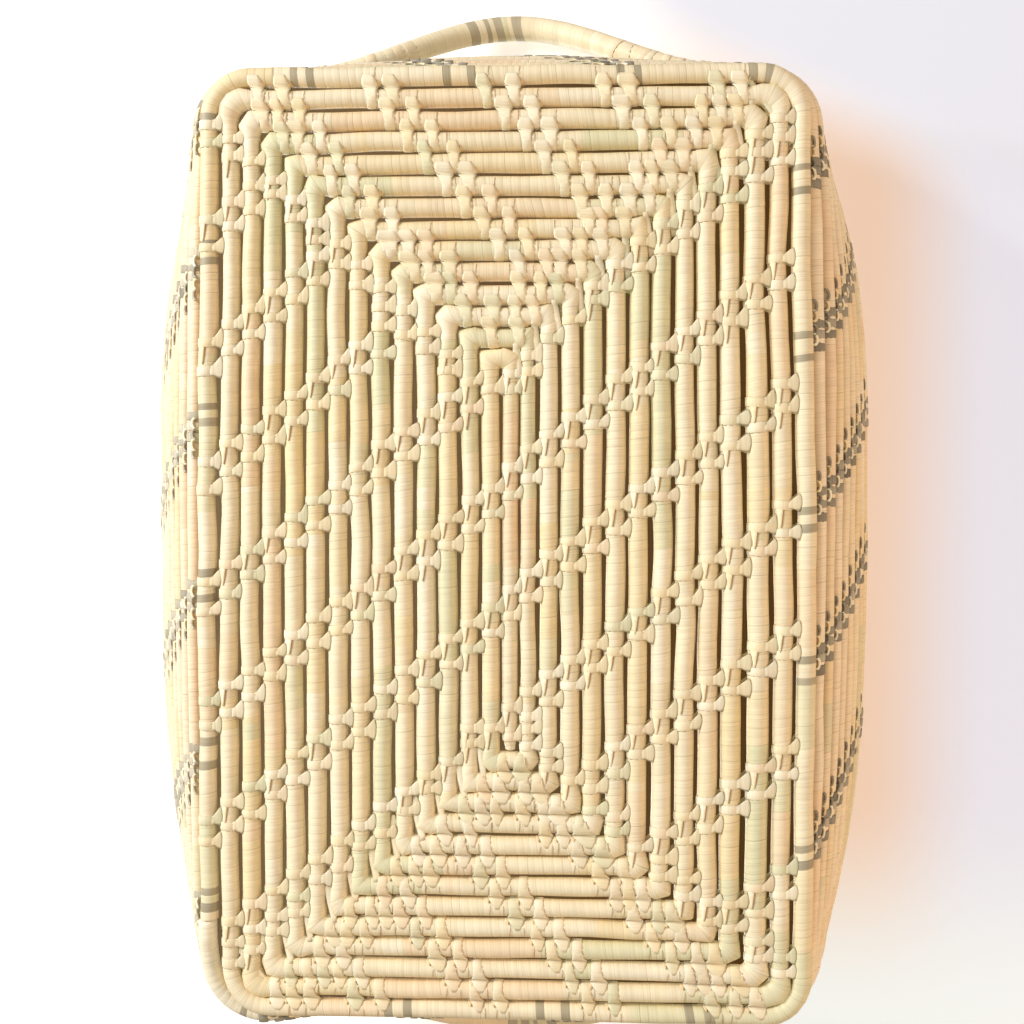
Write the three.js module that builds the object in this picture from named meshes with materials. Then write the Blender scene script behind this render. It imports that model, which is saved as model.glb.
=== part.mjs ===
// A coiled basket tray in millimetres, +Z up, standing on the undersides of its base stitches at z = 0.
// A leaf-wrapped rod is wound into a rectangular spiral for the base and carried on upward, round by
// round, for walls that lean outward. Strips of leaf run over and under the rods in slanting rows and
// tie them together. A wrapped arch handle is lashed to the rim at each short end.
import * as THREE from 'three';

// Rod: six-sided section with a corner at the top and at the bottom
const ROD_DIAMETER = 8.7;
const ROD_SIDES = 6;
const BEND_STEPS = 3;

// Base: clear widths between rods along the long sides and along the ends, and the straight first rod
const SIDE_GAP = 1.3;
const END_GAP = 0.86;
const START_LENGTH = 180;
const START_TAPER = 0.7;
const BASE_TURNS = 14;

// Bends of the base: the last ones at the back and at the front, and the share of what these are wider than
// the tightest bend that is left one turn further in
const BACK_BEND_RADIUS = 20;
const FRONT_BEND_RADIUS = 18.85;
const BEND_EASE = 0.33;

// Wall: how far the rim stands outside the base at the middle of each side and at the corners, which lean out
// less at the back, how evenly the sides and the ends keep that up towards the corners, and the climb before
// and after the front right corner
const WALL_TURNS = 8;
const SIDE_FLARE = 35;
const END_FLARE = 22.5;
const FRONT_CORNER_FLARE = 19;
const BACK_CORNER_FLARE = 12;
const SIDE_BOW = 3.5;
const END_BOW = 2;
const FLARE_EASE = 0.3;
const SIDE_POINTS = 4;
const END_POINTS = 3;
const CLIMB_RUN = 12;
const CLIMB_REACH = 34;
const CLIMB_POINTS = 2;
const RIM_END_RUN = 25;
const RIM_END_TAPER = 0.4;

// Leaf strip: stitches, lashings, and the clearance that every strip keeps to what it binds
const STITCH_WIDTH = 4;
const STITCH_THICKNESS = 0.5;
const STITCH_RUN = 0.6;
const LASHING_THICKNESS = 0.4;
const LASHING_STEPS = 8;
const CLEARANCE = 0.3;

// Stitch rows of the base: how many fit in its length and in its width, how many from the middle to the end
// of the first rod, and how many more with each turn, on the sides and at the ends. Slant, from one rod to
// the next, and phase are shares of the distance between two rows.
const SIDE_ROW_COUNT = 7.94;
const END_ROW_COUNT = 5.1;
const FIRST_ROD_ROW_COUNT = 1.33;
const SIDE_TURN_ROW_COUNT = 0.163;
const END_TURN_ROW_COUNT = 0.16;
const SIDE_SLANT_SHARE = 0.14;
const END_SLANT_SHARE = 0.157;
const SIDE_PHASE_SHARE = 0.437;
const SHORTEST_ROW_COUNT = 3;

// Stitch rows of the wall: their number on each side, and their advance from one round to the next
const FRONT_ROW_COUNT = 3;
const LEFT_ROW_COUNT = 4;
const BACK_ROW_COUNT = 3;
const RIGHT_ROW_COUNT = 4;
const WALL_ROW_ADVANCE = 6;

// Handles: span and rise of the arch, lean away from upright, thickness at crown and tails, bound tails
const HANDLE_SPAN = 180;
const HANDLE_RISE = 41;
const HANDLE_LEAN = THREE.MathUtils.degToRad(35);
const HANDLE_DIAMETER = 12.3;
const TAIL_DIAMETER = 8.8;
const TAIL_LENGTH = 14;
const TAIL_MARGIN = 1;
const WRAP_THICKNESS = 1;
const HANDLE_SIDES = 8;
const HANDLE_STEPS = 22;

const UP = new THREE.Vector3(0, 0, 1);
const rodRadius = ROD_DIAMETER / 2;
const sidePitch = ROD_DIAMETER + SIDE_GAP;
const endPitch = ROD_DIAMETER + END_GAP;
const wallPitch = ROD_DIAMETER + LASHING_THICKNESS + 2 * CLEARANCE;
const baseHeight = rodRadius + CLEARANCE + STITCH_THICKNESS;
const stitchReach = rodRadius + CLEARANCE + STITCH_THICKNESS / 2;
const halfStart = (START_LENGTH - endPitch) / 2;
const tightBendRadius = sidePitch / 2;

// Places of the base rods: columns run along Y on both sides, rows run along X at the two ends
const columnX = (turn) => (turn - 0.5) * sidePitch;
const backRowY = (turn) => halfStart + (turn - 1) * endPitch;
const frontRowY = (turn) => -(halfStart + turn * endPitch);
const startY = frontRowY(1) + endPitch;

function backBendRadius(turn) {
  return THREE.MathUtils.lerp(tightBendRadius, BACK_BEND_RADIUS, BEND_EASE ** (BASE_TURNS - turn));
}

function frontBendRadius(turn) {
  return THREE.MathUtils.lerp(tightBendRadius, FRONT_BEND_RADIUS, BEND_EASE ** (BASE_TURNS - 1 - turn));
}

// Points on a quarter bend at a corner, entered along one direction and left along another
function bend(corner, into, out, radius) {
  const points = [];
  for (let step = 0; step <= BEND_STEPS; step += 1) {
    const angle = (step / BEND_STEPS) * (Math.PI / 2);
    const point = corner.clone().addScaledVector(into, radius * (Math.sin(angle) - 1));
    points.push(point.addScaledVector(out, radius * (1 - Math.cos(angle))));
  }
  return points;
}

// Closed solid through a row of section rings that all have the same number of points
function solidThrough(rings) {
  const count = rings[0].length;
  const index = [];
  for (let ring = 0; ring + 1 < rings.length; ring += 1) {
    for (let side = 0; side < count; side += 1) {
      const next = (side + 1) % count;
      const a = ring * count + side;
      const b = ring * count + next;
      index.push(a, b, a + count, b, b + count, a + count);
    }
  }
  const last = (rings.length - 1) * count;
  for (let side = 1; side + 1 < count; side += 1) {
    index.push(0, side + 1, side);
    index.push(last, last + side, last + side + 1);
  }
  return geometryFrom(rings.flat(), index);
}

// Closed tube with a bore, through matching outer and inner section rings
function sleeveThrough(outer, inner) {
  const count = outer[0].length;
  const bore = outer.length * count;
  const last = (outer.length - 1) * count;
  const index = [];
  for (let side = 0; side < count; side += 1) {
    const next = (side + 1) % count;
    for (let ring = 0; ring + 1 < outer.length; ring += 1) {
      const a = ring * count + side;
      const b = ring * count + next;
      index.push(a, b, a + count, b, b + count, a + count);
      index.push(bore + a, bore + a + count, bore + b, bore + b, bore + a + count, bore + b + count);
    }
    index.push(side, bore + side, next, next, bore + side, bore + next);
    const [a, b] = [last + side, last + next];
    index.push(a, b, bore + a, b, bore + b, bore + a);
  }
  return geometryFrom([...outer.flat(), ...inner.flat()], index);
}

function geometryFrom(points, index) {
  const geometry = new THREE.BufferGeometry();
  geometry.setAttribute('position', new THREE.Float32BufferAttribute(points.flatMap((p) => p.toArray()), 3));
  geometry.setIndex(index);
  return geometry;
}

// Direction of travel at each point of a path, halfway between the stretches that meet there
function directions(points) {
  return points.map((point, i) => {
    const before = points[Math.max(i - 1, 0)];
    const after = points[Math.min(i + 1, points.length - 1)];
    const into = point.clone().sub(before).normalize();
    const out = after.clone().sub(point).normalize();
    return into.add(out).normalize();
  });
}

// Wrapped rod along a path, widened at its bends so that the section stays true between them
function rodAlong(points, radii) {
  const travel = directions(points);
  const rings = points.map((point, i) => {
    const left = UP.clone().cross(travel[i]).normalize();
    const rise = travel[i].clone().cross(left);
    const next = points[i + 1] ? points[i + 1].clone().sub(point) : point.clone().sub(points[i - 1]);
    const widen = 1 / next.normalize().dot(travel[i]);
    return Array.from({ length: ROD_SIDES }, (_, side) => {
      const angle = Math.PI / 2 + (side / ROD_SIDES) * 2 * Math.PI;
      const corner = point.clone().addScaledVector(left, radii[i] * widen * Math.cos(angle));
      return corner.addScaledVector(rise, radii[i] * Math.sin(angle));
    });
  });
  return solidThrough(rings);
}

// Least clear distance between stretches of one rod that are well apart along its length
function leastGap(points, radii) {
  const apart = 4 * ROD_DIAMETER;
  const places = [0];
  for (let i = 1; i < points.length; i += 1) {
    places.push(places[i - 1] + points[i].distanceTo(points[i - 1]));
  }
  const stretches = points.slice(1).map((point, i) => new THREE.Line3(points[i], point));
  const radiusAt = (i, share) => THREE.MathUtils.lerp(radii[i], radii[i + 1], share);
  const nearest = new THREE.Vector3();
  const sample = new THREE.Vector3();
  let least = Infinity;
  stretches.forEach((stretch, i) => {
    const length = stretch.distance();
    const samples = Math.ceil(length / rodRadius);
    for (let s = 0; s <= samples; s += 1) {
      stretch.at(s / samples, sample);
      const place = places[i] + (s / samples) * length;
      stretches.forEach((other, j) => {
        const share = other.closestPointToPointParameter(sample, true);
        const otherPlace = places[j] + share * other.distance();
        if (Math.abs(place - otherPlace) > apart) {
          const between = sample.distanceTo(other.at(share, nearest));
          least = Math.min(least, between - radiusAt(i, s / samples) - radiusAt(j, share));
        }
      });
    }
  });
  return least;
}

// Base coil: up the first column, over the back, down, across the front and up again, turn after turn
function baseCoilPath(endY) {
  const north = new THREE.Vector3(0, 1, 0);
  const east = new THREE.Vector3(1, 0, 0);
  const south = north.clone().negate();
  const west = east.clone().negate();
  const path = [new THREE.Vector3(-columnX(1), startY, baseHeight)];
  const turnAt = (x, y, into, out, radius) => {
    path.push(...bend(new THREE.Vector3(x, y, baseHeight), into, out, radius));
  };
  for (let turn = 1; turn <= BASE_TURNS; turn += 1) {
    turnAt(-columnX(turn), backRowY(turn), north, east, backBendRadius(turn));
    turnAt(columnX(turn), backRowY(turn), east, south, backBendRadius(turn));
    if (turn < BASE_TURNS) {
      turnAt(columnX(turn), frontRowY(turn), south, west, frontBendRadius(turn));
      turnAt(-columnX(turn + 1), frontRowY(turn), west, north, frontBendRadius(turn));
    }
  }
  path.push(new THREE.Vector3(columnX(BASE_TURNS), endY, baseHeight));
  return path.filter((point, i) => i === 0 || point.distanceTo(path[i - 1]) > CLEARANCE);
}

// Stations round the edge of the base, in the order in which the wall coil passes them. Each has its place
// on the edge rod, the outward direction and how far the rim leans out there. Where the coil climbs from
// one round to the next it also has the share of the climb and the sideways step that goes with it.
function wallStations() {
  const edgeX = columnX(BASE_TURNS);
  const edgeY = backRowY(BASE_TURNS);
  const inner = frontBendRadius(BASE_TURNS - 1);
  const outer = backBendRadius(BASE_TURNS);
  const stations = [];
  const sides = [];
  const bow = (share, power) => 1 - Math.min(Math.abs(share), 1) ** power;

  function flareAt(point, outward) {
    const least = point.y > 0 ? BACK_CORNER_FLARE : FRONT_CORNER_FLARE;
    const onSide = THREE.MathUtils.lerp(least, SIDE_FLARE, bow(point.y / (edgeY - outer), SIDE_BOW));
    const onEnd = THREE.MathUtils.lerp(least, END_FLARE, bow(point.x / (edgeX - outer), END_BOW));
    return THREE.MathUtils.lerp(onSide, onEnd, outward.y ** 2);
  }

  function addStation(point, outward, climb) {
    const flare = flareAt(point, outward);
    stations.push({ point, outward, flare, climb, step: sidePitch * (1 - climb) });
  }

  function corner(x, y, into, out, radius, climbOf) {
    const points = bend(new THREE.Vector3(x, y, baseHeight), into, out, radius);
    points.forEach((point, i) => {
      const angle = (i / BEND_STEPS) * (Math.PI / 2);
      const outward = into.clone().multiplyScalar(Math.sin(angle)).addScaledVector(out, -Math.cos(angle));
      addStation(point, outward, climbOf(i / BEND_STEPS));
    });
    return points.at(-1);
  }

  function side(from, to, outward, count) {
    sides.push({ first: stations.length - 1, length: from.distanceTo(to) });
    for (let i = 1; i <= count; i += 1) {
      addStation(from.clone().lerp(to, i / (count + 1)), outward, 1);
    }
  }

  const north = new THREE.Vector3(0, 1, 0);
  const east = new THREE.Vector3(1, 0, 0);
  const south = north.clone().negate();
  const west = east.clone().negate();
  const level = () => 1;

  // The climb starts on the right side and ends past the front right corner
  const climbX = columnX(BASE_TURNS - 1);
  const climbEndY = inner - edgeY;
  const climbStart = new THREE.Vector3(edgeX, climbEndY + CLIMB_RUN, baseHeight);
  const cornerLength = inner * (Math.PI / 2);
  const climbLength = CLIMB_RUN + cornerLength + CLIMB_REACH;
  const climbAt = (distance) => THREE.MathUtils.smoothstep(distance / climbLength, 0, 1);
  for (let i = 0; i < CLIMB_POINTS; i += 1) {
    const run = (i / CLIMB_POINTS) * CLIMB_RUN;
    addStation(new THREE.Vector3(climbX, climbStart.y - run, baseHeight), east, climbAt(run));
  }
  const cornerClimb = (share) => climbAt(CLIMB_RUN + share * cornerLength);
  const frontRight = corner(climbX, -edgeY, south, west, inner, cornerClimb);
  for (let i = 1; i <= CLIMB_POINTS; i += 1) {
    const run = (i / CLIMB_POINTS) * CLIMB_REACH;
    addStation(frontRight.clone().addScaledVector(west, run), south, climbAt(CLIMB_RUN + cornerLength + run));
  }
  const climbEnd = frontRight.clone().addScaledVector(west, CLIMB_REACH);

  side(climbEnd, new THREE.Vector3(inner - edgeX, -edgeY, baseHeight), south, END_POINTS);
  const frontLeft = corner(-edgeX, -edgeY, west, north, inner, level);
  side(frontLeft, new THREE.Vector3(-edgeX, edgeY - outer, baseHeight), west, SIDE_POINTS);
  const backLeft = corner(-edgeX, edgeY, north, east, outer, level);
  side(backLeft, new THREE.Vector3(edgeX - outer, edgeY, baseHeight), north, END_POINTS);
  const backRight = corner(edgeX, edgeY, east, south, outer, level);
  side(backRight, climbStart, east, SIDE_POINTS);

  let along = 0;
  stations.forEach((station, i) => {
    along += i === 0 ? 0 : station.point.distanceTo(stations[i - 1].point);
    station.along = along;
  });
  const perimeter = along + stations.at(-1).point.distanceTo(climbStart);
  return { stations, sides, perimeter, climbStart };
}

// Share of the whole lean that is reached at a level, where level 0 is the base and the rim is the last
function lean(level) {
  const share = level / WALL_TURNS;
  return (1 + FLARE_EASE) * share - FLARE_EASE * share * share;
}

// Wall coil: each round lies against the one below it, so its height follows from how far it leans out
function wallRounds(stations) {
  const rounds = [];
  const offsets = [];
  for (let i = 0; i <= WALL_TURNS * stations.length; i += 1) {
    const round = Math.floor(i / stations.length);
    const station = stations[i % stations.length];
    const offset = station.step + station.flare * lean(round + station.climb);
    const below = i - stations.length;
    const floor = below < 0 ? baseHeight : rounds[below].z;
    const pitch = below < 0 ? THREE.MathUtils.lerp(sidePitch, wallPitch, station.climb) : wallPitch;
    const leanOut = below < 0 ? offset : offset - offsets[below];
    const point = station.point.clone().addScaledVector(station.outward, offset);
    rounds.push(point.setZ(floor + Math.sqrt(Math.max(pitch * pitch - leanOut * leanOut, 0))));
    offsets.push(offset);
  }
  return rounds;
}

const { stations, sides, perimeter, climbStart } = wallStations();
const rounds = wallRounds(stations);

// Middle of the rod on a round, at a distance round the edge of the base; round -1 is the edge of the base
function onRound(round, distance) {
  const turns = Math.floor(distance / perimeter);
  const rest = distance - turns * perimeter;
  const place = round + turns;
  const after = stations.findIndex((station) => station.along > rest);
  const first = after < 0 ? stations.length - 1 : after - 1;
  const end = after < 0 ? perimeter : stations[after].along;
  const pointAt = (i) => {
    const edge = i < stations.length ? stations[i].point : climbStart;
    return place < 0 ? edge : rounds[place * stations.length + i];
  };
  const from = pointAt(first);
  const to = pointAt(first + 1);
  const share = (rest - stations[first].along) / (end - stations[first].along);
  return { centre: from.clone().lerp(to, share), along: to.clone().sub(from).normalize() };
}

// Distance round the edge of the base to the middle of the front or the back
function middleOf(end) {
  const middle = stations.findIndex((station) => station.outward.y === end && station.point.x * end >= 0);
  return stations[middle].along - Math.abs(stations[middle].point.x);
}

// Strip of leaf that ties rods together, passing on alternate sides of each rod in turn
function stitchRow(crossings, startReach) {
  const path = [];
  const widths = [];
  crossings.forEach((crossing, i) => {
    const before = crossings[Math.max(i - 1, 0)].centre;
    const after = crossings[Math.min(i + 1, crossings.length - 1)].centre;
    const across = after.clone().sub(before);
    across.addScaledVector(crossing.along, -across.dot(crossing.along));
    const halfPitch = across.length() / (i === 0 || i === crossings.length - 1 ? 2 : 4);
    across.normalize();
    const outward = across.clone().cross(crossing.along).multiplyScalar(crossing.face * stitchReach);
    const reach = halfPitch - STITCH_RUN;
    const behind = i === 0 ? startReach * reach : reach;
    path.push(crossing.centre.clone().add(outward).addScaledVector(across, -behind));
    path.push(crossing.centre.clone().add(outward).addScaledVector(across, reach));
    widths.push(crossing.along, crossing.along);
  });
  const rings = path.map((point, i) => {
    const normalOf = (from, to) => to.clone().sub(from).cross(widths[i]).normalize();
    const into = normalOf(path[Math.max(i - 1, 0)], path[Math.max(i, 1)]);
    const out = normalOf(path[Math.min(i, path.length - 2)], path[Math.min(i + 1, path.length - 1)]);
    const mitre = into.clone().add(out).multiplyScalar(STITCH_THICKNESS / 2 / (1 + into.dot(out)));
    const half = widths[i].clone().multiplyScalar(STITCH_WIDTH / 2);
    const near = point.clone().sub(mitre);
    const far = point.clone().add(mitre);
    return [far.clone().add(half), far.clone().sub(half), near.clone().sub(half), near.clone().add(half)];
  });
  return solidThrough(rings);
}

const isLongEnough = (run) => run.length >= SHORTEST_ROW_COUNT;

// Splits crossings into runs over neighbouring rods
function runsOf(crossings) {
  const runs = [];
  crossings.forEach((crossing, i) => {
    if (i > 0 && crossing.rod === crossings[i - 1].rod + 1) {
      runs.at(-1).push(crossing);
    } else {
      runs.push([crossing]);
    }
  });
  return runs;
}

// Cuts a run back to where it lies on the upper face, so that both of its ends are inside the tray
function endInside(run) {
  const first = run.findIndex((crossing) => crossing.face > 0);
  const last = run.findLastIndex((crossing) => crossing.face > 0);
  return run.slice(first, last + 1);
}

// Place of a stitch along a rod, kept on the straight part between the rod's bends
function onStraight(place, lowest, highest) {
  const margin = STITCH_WIDTH / 2 + CLEARANCE;
  return THREE.MathUtils.clamp(place, lowest + margin, highest - margin);
}

// Rows of stitches over the columns of the base; on the last column that the climb passes, above the climb
function sideRows() {
  const spacing = (backRowY(BASE_TURNS) - frontRowY(BASE_TURNS)) / SIDE_ROW_COUNT;
  const along = new THREE.Vector3(0, 1, 0);
  const lastColumn = BASE_TURNS - 2;
  const lastRow = Math.ceil(SIDE_ROW_COUNT);
  const rows = [];
  for (let row = -lastRow; row <= lastRow; row += 1) {
    const crossings = [];
    for (let column = 1 - BASE_TURNS; column <= lastColumn; column += 1) {
      const turn = column < 0 ? -column : column + 1;
      const place = row + SIDE_PHASE_SHARE - (column + 0.5) * SIDE_SLANT_SHARE;
      if (Math.abs(place) < FIRST_ROD_ROW_COUNT + (turn - 1) * SIDE_TURN_ROW_COUNT) {
        const frontTurn = column < 0 ? turn - 1 : turn;
        const frontEnd = frontTurn === 0 ? startY : frontRowY(frontTurn) + frontBendRadius(frontTurn);
        const lowest = column === lastColumn ? climbStart.y : frontEnd;
        const y = onStraight(place * spacing, lowest, backRowY(turn) - backBendRadius(turn));
        const centre = new THREE.Vector3((column + 0.5) * sidePitch, y, baseHeight);
        crossings.push({ rod: column, centre, along, face: column % 2 === 0 ? 1 : -1 });
      }
    }
    rows.push(...runsOf(crossings).map(endInside).filter(isLongEnough));
  }
  return rows;
}

// Rows of stitches over the rods that run across one end of the base; the two ends mirror each other
function endRows(end) {
  const spacing = (2 * columnX(BASE_TURNS)) / END_ROW_COUNT;
  const along = new THREE.Vector3(-end, 0, 0);
  const lastTurn = end > 0 ? BASE_TURNS - 1 : BASE_TURNS - 2;
  const lastRow = Math.ceil(END_ROW_COUNT / 2);
  const rows = [];
  for (let row = -lastRow; row <= lastRow; row += 1) {
    const crossings = [];
    for (let turn = 1; turn <= lastTurn; turn += 1) {
      const place = row - (lastTurn - turn) * END_SLANT_SHARE;
      if (Math.abs(place) < (turn - 1) * END_TURN_ROW_COUNT) {
        const half = columnX(turn) - (end > 0 ? backBendRadius(turn) : frontBendRadius(turn));
        const x = end * onStraight(place * spacing, -half, half);
        const y = end > 0 ? backRowY(turn) : frontRowY(turn);
        const centre = new THREE.Vector3(x, y, baseHeight);
        crossings.push({ rod: turn, centre, along, face: turn % 2 === 0 ? -1 : 1 });
      }
    }
    rows.push(...runsOf(crossings).map(endInside).filter(isLongEnough));
  }
  return rows;
}

// Rows of dyed stitches up the straight sides of the wall, from the edge of the base to the rim, or to the
// round below the rim at the two ends, where a handle stands on it
function wallRows() {
  const counts = [FRONT_ROW_COUNT, LEFT_ROW_COUNT, BACK_ROW_COUNT, RIGHT_ROW_COUNT];
  return sides.flatMap(({ first, length }, side) => {
    const from = stations[first].along;
    const top = stations[first + 1].outward.y === 0 ? WALL_TURNS : WALL_TURNS - 1;
    const spacing = (length - WALL_TURNS * WALL_ROW_ADVANCE) / counts[side];
    return Array.from({ length: counts[side] }, (_, row) => {
      const start = from + (row + 0.5) * spacing;
      return Array.from({ length: top + 1 }, (_, level) => {
        const crossing = onRound(level - 1, start + level * WALL_ROW_ADVANCE);
        return { ...crossing, face: level % 2 === 0 ? 1 : -1 };
      });
    });
  });
}

const frontMiddle = middleOf(-1);
const backMiddle = middleOf(1);
const halfHandle = HANDLE_SPAN / 2 + TAIL_LENGTH;

// Handle: an arch that leans outward and whose tails run along the rim
function handlePoint(middle, distance) {
  const rim = onRound(WALL_TURNS - 1, middle + distance);
  const outward = UP.clone().cross(rim.along).normalize();
  const toward = outward.multiplyScalar(Math.sin(HANDLE_LEAN)).addScaledVector(UP, Math.cos(HANDLE_LEAN));
  const share = Math.min(Math.abs(distance) / (HANDLE_SPAN / 2), 1);
  const arch = Math.cos((share * Math.PI) / 2);
  const seat = rodRadius + CLEARANCE + TAIL_DIAMETER / 2;
  const centre = rim.centre.clone().addScaledVector(toward, seat + HANDLE_RISE * arch * arch);
  const radius = THREE.MathUtils.lerp(TAIL_DIAMETER, HANDLE_DIAMETER, arch) / 2;
  return { rim, toward, centre, radius };
}

// Section rings of a handle, drawn in by a depth below its outer surface
function handleRings(middle, depth) {
  const places = Array.from({ length: HANDLE_STEPS + 1 }, (_, i) => {
    return handlePoint(middle, (2 * i / HANDLE_STEPS - 1) * halfHandle);
  });
  const travel = directions(places.map((place) => place.centre));
  return places.map((place, i) => {
    const sideways = place.toward.clone().cross(place.rim.along);
    sideways.addScaledVector(travel[i], -sideways.dot(travel[i])).normalize();
    const rise = travel[i].clone().cross(sideways);
    const radius = place.radius - depth;
    return Array.from({ length: HANDLE_SIDES }, (_, side) => {
      const angle = ((side + 0.5) / HANDLE_SIDES) * 2 * Math.PI;
      const corner = place.centre.clone().addScaledVector(sideways, radius * Math.cos(angle));
      return corner.addScaledVector(rise, radius * Math.sin(angle));
    });
  });
}

// Lashing: a band round the rim and a handle's tail together
function lashing(middle, end) {
  const facets = 1 / Math.cos(Math.PI / 2 / LASHING_STEPS);
  const centre = end * (halfHandle - TAIL_LENGTH / 2);
  const half = TAIL_LENGTH / 2 - TAIL_MARGIN;
  const ringsAt = (depth) => [-half, 0, half].map((stop) => {
    const { rim, toward, centre: tail } = handlePoint(middle, centre + stop);
    const sideways = rim.along.clone().cross(toward).normalize();
    const arc = (origin, radius, from) => Array.from({ length: LASHING_STEPS + 1 }, (_, i) => {
      const angle = from + (i / LASHING_STEPS) * Math.PI;
      const point = origin.clone().addScaledVector(toward, radius * Math.cos(angle));
      return point.addScaledVector(sideways, radius * Math.sin(angle));
    });
    const roundTail = arc(tail, (TAIL_DIAMETER / 2 + depth) * facets, -Math.PI / 2);
    return [...roundTail, ...arc(rim.centre, (rodRadius + depth) * facets, Math.PI / 2)];
  });
  return sleeveThrough(ringsAt(CLEARANCE + LASHING_THICKNESS), ringsAt(CLEARANCE));
}

const tray = new THREE.Group();

function addPiece(name, geometry, look) {
  const mesh = new THREE.Mesh(geometry, new THREE.MeshStandardMaterial(look));
  mesh.name = name;
  tray.add(mesh);
}

const PALE_LEAF = { color: 0xecd8a8, roughness: 0.55, metalness: 0 };
const WARM_LEAF = { color: 0xe2c48c, roughness: 0.55, metalness: 0 };
const DYED_LEAF = { color: 0x9e9786, roughness: 0.65, metalness: 0 };
const STEM = { color: 0xb8935a, roughness: 0.8, metalness: 0 };
const numbered = (name, i) => `${name}_${String(i + 1).padStart(2, '0')}`;

// The base coil stops one clearance short of the wall coil, which starts one rod diameter before the climb
const wallStart = climbStart.clone();
wallStart.y += ROD_DIAMETER;
const basePath = baseCoilPath(wallStart.y + CLEARANCE);
const baseRadii = basePath.map(() => rodRadius);
baseRadii[0] *= START_TAPER;
addPiece('base_coil', rodAlong(basePath, baseRadii), PALE_LEAF);
console.log(`base_coil: least gap to itself ${leastGap(basePath, baseRadii).toFixed(2)} mm`);

// The end of the rim tapers and drops, so that it lies down on the round below it
const rimEnd = rounds.at(-1).clone();
const taperStart = rounds.at(-2).clone().sub(rimEnd).setLength(RIM_END_RUN).add(rimEnd);
rimEnd.z -= rodRadius * (1 - RIM_END_TAPER);
const wallPath = [wallStart, ...rounds.slice(0, -1), taperStart, rimEnd];
const wallRadii = wallPath.map(() => rodRadius);
wallRadii[wallRadii.length - 1] *= RIM_END_TAPER;
addPiece('wall_coil', rodAlong(wallPath, wallRadii), WARM_LEAF);
console.log(`wall_coil: least gap to itself ${leastGap(wallPath, wallRadii).toFixed(2)} mm`);

[...sideRows(), ...endRows(1), ...endRows(-1)].forEach((row, i) => {
  addPiece(numbered('base_stitch', i), stitchRow(row, 1), PALE_LEAF);
});
wallRows().forEach((row, i) => {
  addPiece(numbered('wall_stitch', i), stitchRow(row, 0), DYED_LEAF);
});

for (const [end, middle] of [['front', frontMiddle], ['back', backMiddle]]) {
  const outer = handleRings(middle, 0);
  const bore = handleRings(middle, WRAP_THICKNESS);
  addPiece(`${end}_handle_wrap`, sleeveThrough(outer, bore), PALE_LEAF);
  addPiece(`${end}_handle_core`, solidThrough(handleRings(middle, WRAP_THICKNESS + CLEARANCE)), STEM);
  const [first, second] = end === 'front' ? ['right', 'left'] : ['left', 'right'];
  addPiece(`${end}_${first}_lashing`, lashing(middle, -1), WARM_LEAF);
  addPiece(`${end}_${second}_lashing`, lashing(middle, 1), WARM_LEAF);
}

export default tray;
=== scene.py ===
import math

import bpy
import numpy as np
from mathutils import Matrix, Vector


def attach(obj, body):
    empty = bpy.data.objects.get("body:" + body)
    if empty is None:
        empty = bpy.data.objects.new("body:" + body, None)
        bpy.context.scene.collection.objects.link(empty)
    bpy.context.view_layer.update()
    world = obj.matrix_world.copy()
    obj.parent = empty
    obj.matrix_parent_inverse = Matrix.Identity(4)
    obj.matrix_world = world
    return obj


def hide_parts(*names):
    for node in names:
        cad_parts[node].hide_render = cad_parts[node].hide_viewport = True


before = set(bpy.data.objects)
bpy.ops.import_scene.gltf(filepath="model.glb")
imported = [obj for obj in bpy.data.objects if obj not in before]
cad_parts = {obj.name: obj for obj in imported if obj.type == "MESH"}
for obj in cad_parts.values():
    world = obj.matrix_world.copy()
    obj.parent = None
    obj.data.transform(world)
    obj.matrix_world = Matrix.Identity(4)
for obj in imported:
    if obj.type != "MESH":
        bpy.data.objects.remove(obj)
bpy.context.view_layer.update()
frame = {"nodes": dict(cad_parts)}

# Driving sizes of the tray in millimetres, as in the CAD model
PITCH_X = 10.0
PITCH_Y = 9.56
HALF_START = 85.22
BASE_Z = 5.15
TURNS = 14
BACK_BEND, FRONT_BEND, BEND_EASE = 20.0, 18.85, 0.33
WALL_TURNS = 8
WALL_PITCH = 9.7
SIDE_FLARE, END_FLARE, FLARE_EASE = 35.0, 22.5, 0.3
FRONT_CORNER_FLARE, BACK_CORNER_FLARE = 19.0, 12.0
SIDE_BOW, END_BOW = 3.5, 2.0
CLIMB_RUN, CLIMB_REACH = 12.0, 34.0
HANDLE_SPAN, HANDLE_RISE, HANDLE_LEAN = 180.0, 41.0, math.radians(35)
HANDLE_DIAMETER, TAIL_DIAMETER, TAIL_LENGTH = 12.3, 8.8, 14.0
HALF_HANDLE = HANDLE_SPAN / 2 + TAIL_LENGTH
RIM_RADIUS, SEAT_GAP = 4.35, 0.3
SEAT = RIM_RADIUS + SEAT_GAP + TAIL_DIAMETER / 2

# Sizes of the rods with their leaf, and how far from the climb and the rim they end
ROD_RADIUS, WALL_RADIUS = 4.2, 4.45
ROW_FULLER, BEND_FULLER, EDGE_BEND_FULLER, BEND_REACH = 0.14, 1.9, 0.3, 5.0
WRAP_WIDTH, HANDLE_WRAP_WIDTH = 3.6, 2.6
ROD_SIDES, HANDLE_SIDES = 10, 16
FREE_END, BASE_END, WALL_START, RIM_TUCK = 4.0, 9.0, (8.7, 6.0, 3.0), 2.6

# How far the rods of the base are drawn aside in the real tray, at places across it
DRAWN_AT = [-140, -120, -105, -50, -20, 0, 20, 135]
DRAWN_BY = [-0.4, 0.0, 2.5, 4.5, 4.0, 0.2, -1.0, -0.9]
DRAWN_STEP = 6.0

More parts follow.
